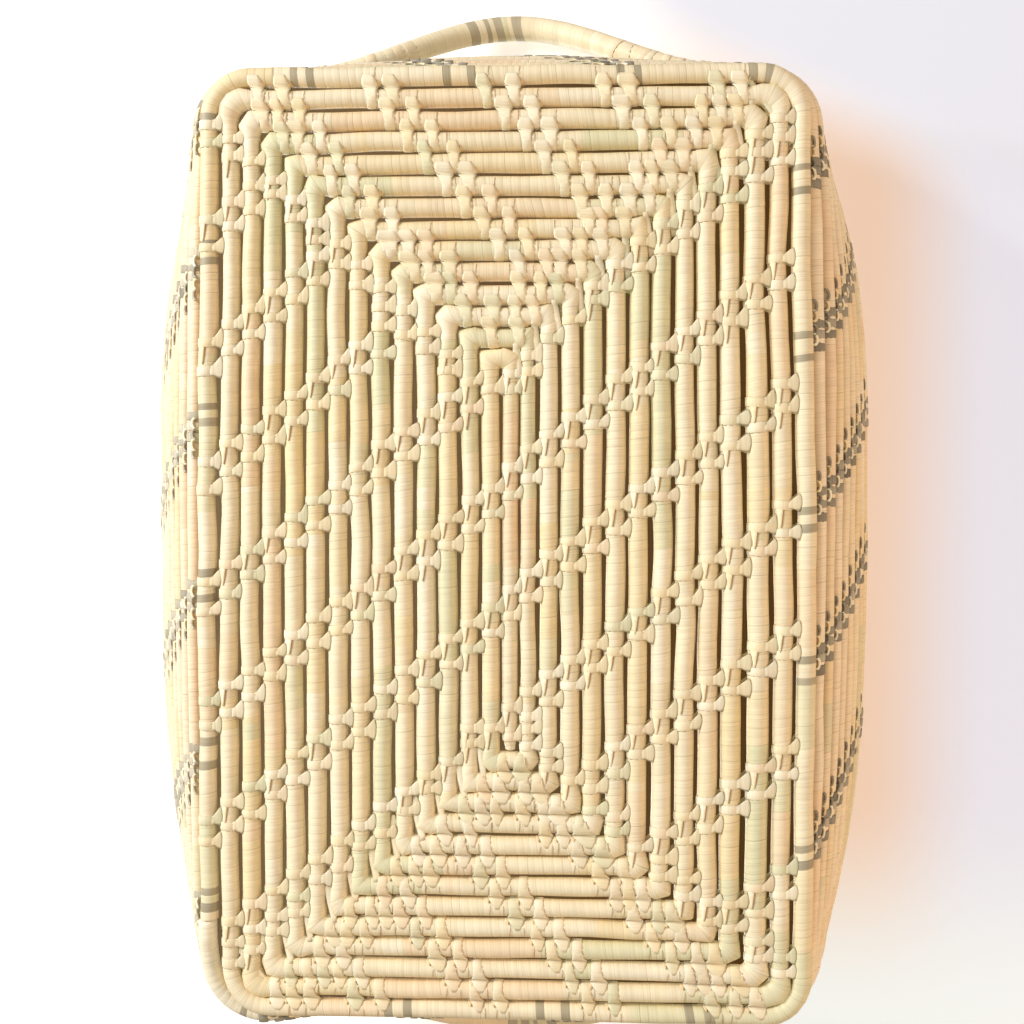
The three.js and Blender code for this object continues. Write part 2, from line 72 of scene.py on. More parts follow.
# How far the base narrows towards the back, on the right and on the left, and from where to where
NARROWS = {1: (3.6, -70.0, 190.0), -1: (4.2, 0.0, 140.0)}
NARROW_FROM, NARROW_TO, NARROW_HEIGHT = 60.0, 130.0, 16.0

MM = 0.001
UP = np.array([0.0, 0.0, 1.0])
DOWN = -UP
NORTH, EAST, SOUTH, WEST = np.array([(0, 1, 0), (1, 0, 0), (0, -1, 0), (-1, 0, 0)], float)
run_rng = np.random.default_rng(11)
rng = np.random.default_rng(21)


def unit(v):
    return v / np.linalg.norm(v, axis=-1, keepdims=True)


def mix(a, b, t):
    return a + (b - a) * t


def smooth(t):
    """Eases a share in and out."""
    return t * t * (3 - 2 * t)


def lengths_along(points):
    """How far along a line its points are."""
    return np.concatenate([[0], np.cumsum(np.linalg.norm(np.diff(points, axis=0), axis=1))])


def points_at(s, along, points):
    """Points on a line, at lengths along it."""
    return np.stack([np.interp(s, along, points[:, i]) for i in range(3)], -1)


def srgb(*rgb):
    c = np.array(rgb, float) / 255
    return np.where(c <= 0.04045, c / 12.92, ((c + 0.055) / 1.055) ** 2.4)


# Colours of the leaf, and shares of them that are lost in shade
CREAM = srgb(246, 233, 200)
STRAW = srgb(244, 226, 182)
GREENISH = srgb(227, 223, 184)
ROSY = srgb(245, 222, 186)
PALE = srgb(249, 238, 210)
# The next colour is painted shade: the dark of creases, pleat lines and slits between strips
CREASE_SHADE = srgb(182, 146, 98)
# The next colour is a fold's leaf tinted tan as painted shade
SHADED_FOLD = srgb(238, 210, 162)
DYED = srgb(158, 151, 134)
DYED_WORN = srgb(184, 176, 157)
GREY_BAND = srgb(178, 168, 142)
CROWN_GREY = srgb(190, 177, 150)
FLANK_SHADE = np.array([0.06, 0.13, 0.26])
SEAM_SHADE, WALL_SEAM = np.array([0.3, 0.44, 0.56]), math.radians(60)
WALL_TONE, HANDLE_TONE = np.array([1.0, 0.965, 0.97]), np.array([1.0, 0.98, 0.95])

# Cross-sections of leaf strips, as shares of half their width and depth
FLAT = np.array([(-1, 0), (-0.8, 0.85), (0, 1), (0.8, 0.85), (1, 0), (0, -0.8)], float)
ROOF_TOP = [(-1, 0), (-0.72, 0.62), (-0.3, 0.95), (0.1, 1), (0.45, 0.85), (0.75, 0.55), (1, 0)]
ROOF = np.array(ROOF_TOP + [(0.5, -0.35), (-0.5, -0.35)])
WEDGE_TOP = [(-1, 0), (-0.9, 0.72), (-0.62, 1), (-0.15, 0.86), (0.4, 0.55), (0.85, 0.2), (1.1, -0.1)]
WEDGE = np.array(WEDGE_TOP + [(0.5, -0.4), (-0.5, -0.4)])


def narrowed(points):
    """Draws the sides of the base in towards the back; the wall stays where it is."""
    x, y, z = points.T
    low = np.clip(1 - (z - BASE_Z) / NARROW_HEIGHT, 0, 1)
    wide = np.clip((np.abs(x) - NARROW_FROM) / (NARROW_TO - NARROW_FROM), 0, 1)
    drawn_in = np.zeros(len(points))
    for side, (most, start, end) in NARROWS.items():
        share = smooth(np.clip((y - start) / (end - start), 0, 1))
        drawn_in += np.where(np.sign(x) == side, most * share, 0)
    shifted = points.copy()
    shifted[:, 0] -= np.sign(x) * drawn_in * low * wide
    return shifted


# Map of a piece: margins round a tube as shares of its cell, and how far on a run may start
MARGIN_U, MARGIN_V = 0.04, 0.03
RUN_SPREAD = 900.0


class Piece:
    """Gathers tubes into one mesh, with a tint, a running length and a map for every point."""

    def __init__(self, chart_rings=12, chart_ratio=1.0):
        self.points, self.tints, self.runs = [], [], []
        self.quads, self.caps, self.charts = [], [], []
        self.count = 0
        self.chart_rings, self.chart_ratio = chart_rings, chart_ratio

    def rings(self, points, tints, runs, closed=False):
        """Adds a tube through rings of points, shaped (rings, sides, 3)."""
        n, m = points.shape[:2]
        first = self.count
        self.count += n * m
        self.points.append(points.reshape(-1, 3))
        self.tints.append(np.broadcast_to(tints, (n, m, 3)).reshape(-1, 3))
        self.runs.append(np.repeat(runs, m))
        spans = n if closed else n - 1
        ring, side = np.arange(spans)[:, None], np.arange(m)[None]
        next_ring, next_side = (ring + 1) % n, (side + 1) % m
        corners = [(ring, side), (ring, next_side), (next_ring, next_side), (next_ring, side)]
        self.quads.append(np.stack([first + i * m + j for i, j in corners], -1).reshape(-1, 4))
        for start in range(0, spans, self.chart_rings):
            self.charts.append((min(self.chart_rings, spans - start), m))
        if not closed:
            self.caps += [first + np.arange(m)[::-1], first + (n - 1) * m + np.arange(m)]

    def strip(self, path, side, normal, half_width, half_depth, tints, section=FLAT, closed=False):
        """Adds a strip that follows a path, as a strip of leaf does."""
        side, normal = np.broadcast_to(side, path.shape), np.broadcast_to(normal, path.shape)
        width = np.broadcast_to(half_width, len(path))[:, None, None]
        depth = np.broadcast_to(half_depth, len(path))[:, None, None]
        across = side[:, None] * section[None, :, :1] * width
        points = path[:, None] + across + normal[:, None] * section[None, :, 1:] * depth
        self.rings(points, tints, lengths_along(path) + run_rng.uniform(0, RUN_SPREAD), closed)

    def finish(self, name, material, slot, nodes=()):
        """Makes the mesh, in place of some CAD nodes."""
        points = narrowed(np.concatenate(self.points)) * MM
        quads = np.concatenate(self.quads)
        faces = quads.tolist() + [cap.tolist() for cap in self.caps]
        mesh = bpy.data.meshes.new(name)
        mesh.from_pydata(points, [], faces, shade_flat=False)
        mesh.validate()
        tint = mesh.color_attributes.new("tint", "FLOAT_COLOR", "POINT")
        colours = np.ones((len(points), 4))
        colours[:, :3] = np.clip(np.concatenate(self.tints), 0, 1)
        tint.data.foreach_set("color", colours.ravel())
        run = mesh.attributes.new("run", "FLOAT", "POINT")
        run.data.foreach_set("value", np.concatenate(self.runs))
        self.lay_out(mesh)
        mesh.materials.append(material)
        obj = bpy.data.objects.new(name, mesh)
        bpy.context.scene.collection.objects.link(obj)
        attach(obj, "root")
        if nodes:
            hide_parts(*nodes)

    def lay_out(self, mesh):
        """Lays all the tubes out side by side in a flat map."""
        total = len(self.charts)
        across = max(1, math.ceil(math.sqrt(total * self.chart_ratio)))
        down = math.ceil(total / across)
        cells = []
        for i, (rings, sides) in enumerate(self.charts):
            u = mix(MARGIN_U, 1 - MARGIN_U, np.arange(sides + 1) / sides) + i % across
            v = mix(MARGIN_V, 1 - MARGIN_V, np.arange(rings + 1) / self.chart_rings) + i // across
            grid = np.stack(np.meshgrid(u / across, v / down), -1)
            corners = [grid[:-1, :-1], grid[:-1, 1:], grid[1:, 1:], grid[1:, :-1]]
            cells.append(np.stack(corners, 2).reshape(-1, 2))
        cells = np.concatenate(cells)
        uv = np.full((len(mesh.loops), 2), MARGIN_U / 4 / across)
        uv[:len(cells)] = cells
        layer = mesh.uv_layers.new(name="OFBake")
        layer.uv.foreach_set("vector", uv.ravel())


SAME_PLACE = 1e-6


class Path:
    """A path made of labelled stretches, read by distance along it."""

    def __init__(self, stretches):
        labels, lines = zip(*stretches)
        points = np.concatenate(lines)
        along = lengths_along(points)
        ends = along[np.cumsum([len(line) for line in lines]) - 1]
        self.spans = dict(zip(labels, zip([0.0, *ends], ends)))
        keep = np.diff(along, prepend=-1) > SAME_PLACE
        self.points, self.along = points[keep], along[keep]
        self.length = along[-1]

    def at(self, s):
        return points_at(s, self.along, self.points)

    def frames(self, s, reach=0.8):
        """The ways along the path, to its left and up."""
        travel = unit(self.at(s + reach) - self.at(s - reach))
        left = unit(np.cross(UP, travel))
        return travel, left, np.cross(travel, left)


def slow_noise(s, step, size, seed):
    """Smooth random wander along a length."""
    knots = np.random.default_rng(seed).normal(0, size, int(np.max(s) / step) + 4)
    i = np.floor(s / step).astype(int)
    return mix(knots[i], knots[i + 1], smooth(s / step - i))


# Base coil: the places of its rods, with the middle rods drawn a little to one side as in the real tray
def column_x(turn):
    return (turn - 0.5) * PITCH_X


def back_y(turn):
    return HALF_START + (turn - 1) * PITCH_Y


def front_y(turn):
    return -(HALF_START + turn * PITCH_Y)


def back_bend(turn):
    """Bends are tight, and wider towards the edge of the base."""
    return mix(PITCH_X / 2, BACK_BEND, BEND_EASE ** (TURNS - turn))


def front_bend(turn):
    return mix(PITCH_X / 2, FRONT_BEND, BEND_EASE ** (TURNS - 1 - turn))


def drawn(points):
    """Moves points across the tray as its rods are drawn aside."""
    points = np.array(points, float)
    points[..., 0] += np.interp(points[..., 0], DRAWN_AT, DRAWN_BY)
    return points


def arc(corner, into, out, radius, steps=10):
    """A quarter turn that rounds off a corner."""
    a = np.linspace(0, np.pi / 2, steps + 1)[:, None]
    return np.array(corner) + into * radius * (np.sin(a) - 1) + out * radius * (1 - np.cos(a))


EDGE_X, EDGE_Y = column_x(TURNS), back_y(TURNS)
CLIMB_X, CLIMB_Y = column_x(TURNS - 1), FRONT_BEND - EDGE_Y + CLIMB_RUN
LINE_STEP = 4.0


def base_stretches():
    """The base's rod from its free end to the climb."""
    stretches = []
    here = np.array([-column_x(1), front_y(1) + PITCH_Y - FREE_END, BASE_Z])

    def line_to(label, point):
        nonlocal here
        point = np.array(point, float)
        steps = max(2, int(np.linalg.norm(point - here) / LINE_STEP))
        stretches.append((label, mix(here, point, np.linspace(0, 1, steps)[:, None])))
        here = point

    def turn_at(side, turn, x, y, into, out, radius):
        nonlocal here
        bend = arc((x, y, BASE_Z), into, out, radius)
        line_to((side, turn), bend[0])
        stretches.append(((side + "_bend", turn), bend))
        here = bend[-1]

    for turn in range(1, TURNS + 1):
        turn_at("left", turn, -column_x(turn), back_y(turn), NORTH, EAST, back_bend(turn))
        turn_at("back", turn, column_x(turn), back_y(turn), EAST, SOUTH, back_bend(turn))
        if turn < TURNS:
            turn_at("right", turn, column_x(turn), front_y(turn), SOUTH, WEST, front_bend(turn))
            turn_at("front", turn, -column_x(turn + 1), front_y(turn), WEST, NORTH, front_bend(turn))
    line_to(("right", TURNS), (EDGE_X, CLIMB_Y + BASE_END, BASE_Z))
    return [(label, drawn(points)) for label, points in stretches]


base_path = Path(base_stretches())
EDGE_BENDS = [("left_bend", TURNS), ("back_bend", TURNS)]
EDGE_BENDS += [("right_bend", TURNS - 1), ("front_bend", TURNS - 1)]


def rod_radius(s, travel):
    """Half height and width of the base's rod, and how far it is let out at bends."""
    x = base_path.at(s)[:, 0]
    drawn_by = [np.interp(x + step, DRAWN_AT, DRAWN_BY) for step in (-DRAWN_STEP, DRAWN_STEP)]
    spread = (drawn_by[1] - drawn_by[0]) / (2 * DRAWN_STEP)
    tall = ROD_RADIUS * (1 + spread * travel[:, 1] ** 2) + ROW_FULLER * travel[:, 0] ** 2
    fuller = np.full(len(s), BEND_FULLER)
    for lo, hi in map(base_path.spans.get, EDGE_BENDS):
        fuller[(s > lo - BEND_REACH) & (s < hi + BEND_REACH)] = EDGE_BEND_FULLER
    bend = 2 * np.abs(travel[:, 0] * travel[:, 1]) * fuller
    return tall, tall + bend, bend


def wall_radius(s, travel):
    return np.outer((WALL_RADIUS, WALL_RADIUS, 0), np.ones(len(s)))


# Wall coil: stations round the edge of the base, then rounds that lean outward, as in the CAD model
RUN_STATIONS, REACH_STATIONS, CORNER_STATIONS = 2, 4, 9
FRONT_STATIONS, LEFT_STATIONS, BACK_STATIONS, RIGHT_STATIONS = 12, 24, 14, 20


def wall_stations():
    """Points round the edge from the climb on, the ways out there and shares of the climb."""
    stations = []
    corner_length = FRONT_BEND * np.pi / 2
    climb_length = CLIMB_RUN + corner_length + CLIMB_REACH

    def add(point, outward, climbed=climb_length):
        stations.append((point, outward, smooth(min(climbed / climb_length, 1))))

    def corner(x, y, into, out, radius, climbed=climb_length):
        points = arc((x, y, BASE_Z), into, out, radius, CORNER_STATIONS)
        for i, point in enumerate(points):
            share = i / CORNER_STATIONS
            outward = into * math.sin(share * np.pi / 2) - out * math.cos(share * np.pi / 2)
            add(point, outward, climbed + share * corner_length)
        return points[-1]

    def side(start, end, outward, count):
        for i in range(1, count + 1):
            add(mix(start, np.array(end), i / (count + 1)), outward)

    for run in np.linspace(0, CLIMB_RUN, RUN_STATIONS + 1)[:-1]:
        add(np.array([CLIMB_X, CLIMB_Y - run, BASE_Z]), EAST, run)
    end = corner(CLIMB_X, -EDGE_Y, SOUTH, WEST, FRONT_BEND, CLIMB_RUN)
    for run in np.linspace(0, CLIMB_REACH, REACH_STATIONS + 1)[1:]:
        add(end + WEST * run, SOUTH, CLIMB_RUN + corner_length + run)
    side(end + WEST * CLIMB_REACH, (FRONT_BEND - EDGE_X, -EDGE_Y, BASE_Z), SOUTH, FRONT_STATIONS)
    end = corner(-EDGE_X, -EDGE_Y, WEST, NORTH, FRONT_BEND)
    side(end, (-EDGE_X, EDGE_Y - BACK_BEND, BASE_Z), WEST, LEFT_STATIONS)
    end = corner(-EDGE_X, EDGE_Y, NORTH, EAST, BACK_BEND)
    side(end, (EDGE_X - BACK_BEND, EDGE_Y, BASE_Z), NORTH, BACK_STATIONS)
    end = corner(EDGE_X, EDGE_Y, EAST, SOUTH, BACK_BEND)
    side(end, (EDGE_X, CLIMB_Y, BASE_Z), EAST, RIGHT_STATIONS)
    return (np.array(column) for column in zip(*stations))


def lean(level):
    """The share of the flare that is reached at a level."""
    t = level / WALL_TURNS
    return (1 + FLARE_EASE) * t - FLARE_EASE * t * t


edge, edge_out, edge_climb = wall_stations()
edge_round = np.vstack([edge, (EDGE_X, CLIMB_Y, BASE_Z)])
around = lengths_along(edge_round)
perimeter = around[-1]


def edge_flare():
    """How far the rim leans out past each station: least at the corners."""
    least = np.where(edge[:, 1] > 0, BACK_CORNER_FLARE, FRONT_CORNER_FLARE)
    from_middle = np.minimum(np.abs(edge[:, :2]) / (EDGE_X - BACK_BEND, EDGE_Y - BACK_BEND), 1)
    side = mix(least, SIDE_FLARE, 1 - from_middle[:, 1] ** SIDE_BOW)
    end = mix(least, END_FLARE, 1 - from_middle[:, 0] ** END_BOW)
    return mix(side, end, edge_out[:, 1] ** 2)


def wall_points():
    """Middles of the wall's rounds, each on the round below it."""
    flare, below, height = edge_flare(), 0, BASE_Z
    pitch = mix(PITCH_X, WALL_PITCH, edge_climb)
    levels = []
    for level in range(WALL_TURNS + 1):
        offset = PITCH_X * (1 - edge_climb) + flare * lean(level + edge_climb)
        height = height + np.sqrt(np.maximum(pitch ** 2 - (offset - below) ** 2, 0))
        points = edge + edge_out * offset[:, None]
        points[:, 2] = height
        levels.append(points)
        below, pitch = offset, WALL_PITCH
    return np.concatenate(levels)[:WALL_TURNS * len(edge) + 1]


rounds = wall_points()
wall_along = np.add.outer(np.arange(WALL_TURNS) * perimeter, around[:-1])
wall_along = np.append(wall_along, WALL_TURNS * perimeter)
wall_start = np.array([[EDGE_X, CLIMB_Y + y, BASE_Z] for y in WALL_START])
rim_end = rounds[-1] - UP * RIM_TUCK
wall_path = Path([("start", wall_start), ("rounds", rounds[:-1]), ("end", [rim_end])])


def on_round(level, distance):
    """Middle of a round at a distance round the tray; level 0 is the edge of the base."""
    if level < 1:
        return points_at(distance % perimeter, around, edge_round)
    return points_at((level - 1) * perimeter + distance, wall_along, rounds)


# Turns of leaf strip: where their rings lie, how far they lift and how they differ; the last ring of a turn
# is darkened as painted shade of the step where the next turn laps over it
TURN_RINGS = np.array([0.0, 0.87, 0.96])
RING_LIFTS, RING_SINKS, TURN_LIFT = np.array([1, 0.5, 0.2]), np.array([0, 0, 0.02]), 0.04
TURN_SPREAD, LEAST_TURN, MOST_TURN, LAST_TURN = 0.14, 0.6, 1.5, 2.0
SPARE_SHARE, SPARE_TURNS = 1.3, 20
DARK_EDGES, DARK_EDGE, PALE_EDGE = 0.4, (0.6, 0.8), (0.84, 0.98)


def wound_strip(path, width, seed):
    """Where the turns of a leaf strip lie along a rod, with three rings to each."""
    local = np.random.default_rng(seed)
    plenty = int(path.length / width * SPARE_SHARE) + SPARE_TURNS
    widths = width * np.clip(local.normal(1, TURN_SPREAD, plenty), LEAST_TURN, MOST_TURN)
    starts = np.cumsum(widths)
    starts = np.concatenate([[0], starts[starts < path.length - LAST_TURN]])
    widths = np.append(np.diff(starts), path.length - starts[-1])
    s = (starts[:, None] + widths[:, None] * TURN_RINGS).ravel()
    lift = local.uniform(0.0, TURN_LIFT, len(starts))
    swell = (lift[:, None] * RING_LIFTS - RING_SINKS).ravel()
    seen = local.random(len(starts))
    dark_edge, pale_edge = (local.uniform(*edge, len(starts)) for edge in (DARK_EDGE, PALE_EDGE))
    line = np.ones((len(starts), len(TURN_RINGS)))
    line[:, -1] = np.where(seen < DARK_EDGES, dark_edge, pale_edge)
    return local, starts + widths / 2, s, swell, line.ravel()[:, None]


# How a wound rod sways, bobs, swells, slants and tapers
SWAY, SWAY_STEP, BOB, BOB_STEP, STEADY_RUN = 0.3, 26, 0.12, 40, 20
SWELL, SHORT_SWELL_STEP, LONG_SWELL_STEP = 0.016, 17, 70
SLANT, SLANT_SPREAD, SLANT_STEP = 0.1, 0.05, 15
TAPER_IN_RUN, TAPER_OUT_RUN, CLEAR_RUN = 9, 25, 25


def wander(path, s, seed, loose):
    """Centre line of a rod, let off its path by a little."""
    _, left, rise = path.frames(s)
    shift = left * slow_noise(s, SWAY_STEP, SWAY * loose, seed)[:, None]
    shift += rise * slow_noise(s, BOB_STEP, BOB * loose, seed + 1)[:, None]
    return path.at(s) + shift * np.clip(s / STEADY_RUN, 0, 1)[:, None]


def ring_points(centres, left, rise, travel, wide, tall, slant, angle):
    """Rings of points round a rod, each slanting along it."""
    points = centres[:, None] + left[:, None] * np.outer(wide, np.cos(angle))[..., None]
    points += rise[:, None] * np.outer(tall, np.sin(angle))[..., None]
    return points + travel[:, None] * np.outer(slant, np.cos(angle))[..., None]


def wrapped(
    piece, path, radius, tints, seed,
    shade=FLANK_SHADE, seam=0.0, clear=0.0, taper_in=1.0, taper_out=1.0, loose=1.0,
):
    """A rod wound with leaf strip, each turn a little over the one before it."""
    local, middles, s, swell, line = wound_strip(path, WRAP_WIDTH, seed)
    travel, left, rise = path.frames(s)
    fullness = 1 + slow_noise(s, SHORT_SWELL_STEP, SWELL, seed + 5)
    fullness += slow_noise(s, LONG_SWELL_STEP, SWELL, seed + 6)
    fullness *= mix(taper_in, 1, np.sqrt(np.clip(s / TAPER_IN_RUN, 0, 1)))
    fullness *= mix(taper_out, 1, np.clip((path.length - s) / TAPER_OUT_RUN, 0, 1))
    tall, wide, aside = radius(s, travel)
    tall, wide = tall * fullness, wide * fullness
    centres = wander(path, s, seed + 7, loose) + left * aside[:, None]
    angle = np.arange(ROD_SIDES) / ROD_SIDES * 2 * np.pi
    slant = (SLANT + slow_noise(s, SLANT_STEP, SLANT_SPREAD, seed + 8)) * tall
    points = ring_points(centres, left, rise, travel, wide + swell, tall + swell, slant, angle)
    colour = np.repeat(tints(middles, local), len(TURN_RINGS), axis=0) * line
    shaded = np.clip((s - clear) / CLEAR_RUN + 1, 0, 1)
    flank = np.outer(shaded, np.abs(np.cos(angle - seam)) ** 3)[..., None]
    piece.rings(points, colour[:, None] * (1 - flank * shade), s)
    return centres, s, tall, wide


LEAVES = np.array([CREAM, STRAW, GREENISH, ROSY, PALE])
LEAF_SHARES = [0.36, 0.2, 0.15, 0.14, 0.15]
NEW_LEAF, LEAF_MIX, LEAF_SPREAD = 0.09, (0.4, 1), 0.015


def leaf_tints(places, local):
    """Colours of the turns of a strip, in runs of one leaf."""
    colours = np.empty((len(places), 3))
    current = CREAM
    for i in range(len(places)):
        if local.random() < NEW_LEAF:
            leaf = LEAVES[local.choice(len(LEAVES), p=LEAF_SHARES)]
            current = mix(CREAM, leaf, local.uniform(*LEAF_MIX))
        colours[i] = current
    return colours * local.normal(1, LEAF_SPREAD, (len(places), 1))


# Where the dyed rows start, along the outer rod of the base, read off the photograph
ROWS_RIGHT = [133, 61, -16, -92, -160]
ROWS_LEFT = [162, 90, 15, -54, -137]
ROWS_BACK = [90, 18, -56, -116]
ROWS_FRONT = [110, 47, -23, -88]
CORNER_ROW = (133.3, 197.6)
SEARCH, SEARCH_STEPS = 22, 89


def place_round(x, y):
    """How far round the edge the nearest place to a point is."""
    near = around[np.argmin(np.hypot(edge[:, 0] - x, edge[:, 1] - y))]
    tries = near + np.linspace(-SEARCH, SEARCH, SEARCH_STEPS)
    spots = on_round(0, tries)
    return tries[np.argmin(np.hypot(spots[:, 0] - x, spots[:, 1] - y))] % perimeter


row_marks = [CORNER_ROW] + [(EDGE_X, y) for y in ROWS_RIGHT] + [(-EDGE_X, y) for y in ROWS_LEFT]
row_marks += [(x, EDGE_Y) for x in ROWS_BACK] + [(x, -EDGE_Y) for x in ROWS_FRONT]
row_starts = [place_round(x, y) for x, y in row_marks]

# Dyed turns: a pair on the outer rod at the foot of each dyed row, and a pair on the climb
MARK_SHIFT, MARK_REACH, MARK_SPREAD = 4.6, 3.0, 0.06
CLIMB_CLEAR, CLIMB_BANDS, CLIMB_COLUMN = 75.0, (50.0, 61.0), 10


def base_tints(places, local):
    """The outer rod has dyed turns, but not where the climb runs outside it."""
    colours = leaf_tints(places, local)
    spots = base_path.at(places)
    outer = (np.abs(spots[:, 0]) > EDGE_X - MARK_REACH) | (np.abs(spots[:, 1]) > EDGE_Y - MARK_REACH)
    outer &= (spots[:, 0] < column_x(CLIMB_COLUMN)) | (spots[:, 1] > -back_y(TURNS - 1))
    for start in row_starts:
        for shift in (-MARK_SHIFT, MARK_SHIFT):
            mark = on_round(0, start + shift)
            near = np.hypot(spots[:, 0] - mark[0], spots[:, 1] - mark[1])
            near[~outer] = np.inf
            i = np.argmin(near)
            if near[i] < MARK_REACH:
                colours[i] = GREY_BAND * local.normal(1, MARK_SPREAD)
    return colours


def wall_tints(places, local):
    """The climb is painted pale, as painted light that lifts it out of the shade it falls in, with a pair of
    dyed turns at the corner.
    """
    colours = leaf_tints(places, local) * WALL_TONE
    colours[places < CLIMB_CLEAR] = PALE
    for place in CLIMB_BANDS:
        colours[np.argmin(np.abs(places - place))] = GREY_BAND
    return colours


rods, walls = (Piece(chart_rings=150, chart_ratio=7) for _ in range(2))
base_rod = wrapped(rods, base_path, rod_radius, base_tints, seed=3, taper_in=0.6)
base_centres, base_s, base_tall, base_wide = base_rod
wrapped(
    walls, wall_path, wall_radius, wall_tints, seed=40,
    shade=SEAM_SHADE, seam=WALL_SEAM, clear=CLIMB_CLEAR, taper_out=0.4, loose=0.6,
)


class Spot:
    """A place on a rod of the base."""

    def __init__(self, s):
        self.middle = points_at(s, base_s, base_centres)
        self.radius = np.interp(s, base_s, base_tall)
        self.wide = np.interp(s, base_s, base_wide)
        self.travel = base_path.frames(s)[0]

    def on(self, face, aside, angle, above=0.0):
        """Points at angles from a face of the rod towards one side, and the ways out there."""
        a = np.radians(angle)
        up, over = np.multiply.outer(np.cos(a), face), np.multiply.outer(np.sin(a), aside)
        above = np.reshape(above, (-1, 1))
        return self.middle + up * (self.radius + above) + over * (self.wide + above), up + over


SPOT_STEPS = 12


def spots_at(axis, value, *rods):
    """The places where stretches of the base coil pass a coordinate."""
    for rod in rods:
        s = np.linspace(*base_path.spans[rod], SPOT_STEPS)
        points = base_path.at(s)[:, axis]
        order = np.argsort(points)
        yield Spot(np.interp(value, points[order], s[order]))


def straight(axis, value, margin, *rods):
    """Whether stretches pass a coordinate, clear of their bends by a margin."""
    ends = [base_path.at(np.array(base_path.spans[rod]))[:, axis] for rod in rods]
    return all(min(pair) + margin < value < max(pair) - margin for pair in ends)


# A band's tints paint shade at its rims and underneath
BAND_STEPS, BAND_EDGES = 12, np.array([0.8, 0.98, 1.0, 0.98, 0.8, 0.8])


def band(piece, middle, travel, radius, half_width, proud, colour, skew=0.0):
    """A turn of leaf round a rod, proud of it."""
    left = unit(np.cross(UP, travel))
    rise = np.cross(travel, left)
    a = np.arange(BAND_STEPS) / BAND_STEPS * 2 * np.pi
    out = left * np.cos(a)[:, None] + rise * np.sin(a)[:, None]
    path = middle + out * radius + travel * (skew * np.cos(a))[:, None]
    piece.strip(path, travel, out, half_width, proud, np.outer(BAND_EDGES, colour), closed=True)


# Forms of the knots: angles on the two rods, shares of the gap between them, widths, depths and edge tints;
# the edge tints paint light and shade across a strip, a touch lighter on its top and darker at its rims and
# underneath
SIDE_KNOT = {
    "from": (30, 48),
    "over": (0.35, 0.7),
    "to": (50, 40),
    "width": (0.48, 0.54, 0.72, 0.92, 1.0, 0.34),
    "depth": (0.3, 0.4, 0.5, 0.5, 0.42, 0.12),
    "edges": (0.9, 0.99, 1.02, 1.01, 0.99, 0.95, 0.88, 0.78, 0.78),
    "section": ROOF,
}
END_KNOT = {
    "from": (-30, 6, 40),
    "over": (0.5,),
    "to": (72, 52, 34, 16, -2),
    "width": (0.56, 0.58, 0.64, 0.9, 1.0, 0.96, 0.88, 0.76, 0.6),
    "depth": (0.02, 0.25, 0.5, 0.95, 1.3, 1.25, 0.95, 0.5, 0.02),
    "edges": (0.8, 0.94, 1.02, 1.02, 1.01, 1.0, 0.97, 0.9, 0.9),
    "section": WEDGE,
}
FRONT_KNOT = {
    **END_KNOT,
    "width": (0.56, 0.58, 0.68, 0.96, 1.0, 0.86, 0.66, 0.44, 0.16),
    "depth": (0.02, 0.25, 0.5, 0.9, 1.1, 0.9, 0.6, 0.28, 0.02),
}
NEAR_LIFT, FAR_LIFT, KNOT_FADE, KNOT_SPREAD = (0.1, 0.35), (0.28, 0.0), 0.04, (0.75, 1.3)


def knot(piece, near, far, face, ahead, form, half, slip, colour):
    """The fan of a stitch, spread from the band on the near rod over the gap onto the far rod."""
    aside = unit(far.middle - near.middle)
    start, out_start = near.on(face, aside, form["from"], np.linspace(*NEAR_LIFT, len(form["from"])))
    end, out_end = far.on(face, -aside, form["to"], np.linspace(*FAR_LIFT, len(form["to"])))
    over = np.array(form["over"])[:, None]
    path = np.concatenate([start, mix(start[-1], end[0], over), end])
    normal = unit(np.concatenate([out_start, mix(out_start[-1], out_end[0], over), out_end]))
    share = np.linspace(0, 1, len(path))
    path = path + np.outer(share * slip, ahead)
    widths = half * np.array(form["width"]) * mix(1, rng.uniform(*KNOT_SPREAD), share * share)
    # The edge tints paint light and shade across the strip; along it the strip also grows a little darker
    # towards its end
    tints = colour * np.outer(1 - KNOT_FADE * share, form["edges"])[..., None]
    side = unit(ahead - normal * np.sum(normal * ahead, -1, keepdims=True))
    piece.strip(path, side, normal, widths, form["depth"], tints, form["section"])


# Loose ends of the stitches: thin lines, folds, and flaps with their slits; the lines and slits are painted
# dark as the shade in creases, the folds tan as painted shadow
LINE_ASIDE, LINE_MISSING, LINE_DEPTH = 0.85, 0.3, 0.1
LINE_WIDTHS, LINE_EDGES = np.array([0.05, 0.11, 0.12, 0.1, 0.04]), np.linspace(1, 0.9, 5)
LINE_FROM, LINE_TO, LINE_LIFT = -58, (8, 30), 0.05
FOLD_ANGLES, FOLD_LIFT, FOLD_SLIP = np.linspace(84, 34, 4), 0.12, 0.6
FOLD_EDGES, FOLD_WIDTHS = np.array([0.95, 1.0, 0.95, 0.9]), np.array([0.34, 0.3, 0.2, 0.05])
FLAP_LENGTH, FLAP_WIDTH, FLAP_TIP, FLAP_ANGLE = (6.6, 8.0), (1.5, 1.8), 0.3, (-27, 3)
SLIT_WIDTHS = np.array([0.08, 0.18, 0.2, 0.15, 0.08])
FLAP_START, FLAP_TURN, FLAP_LIFT, LEAF_DEPTH = 1.7, 4, 0.1, 0.3
SLIT_START, SLIT_TURN, SLIT_LIFT, SLIT_DEPTH, SLIT_SHARE = 1.9, 2, 0.02, 0.12, 0.95


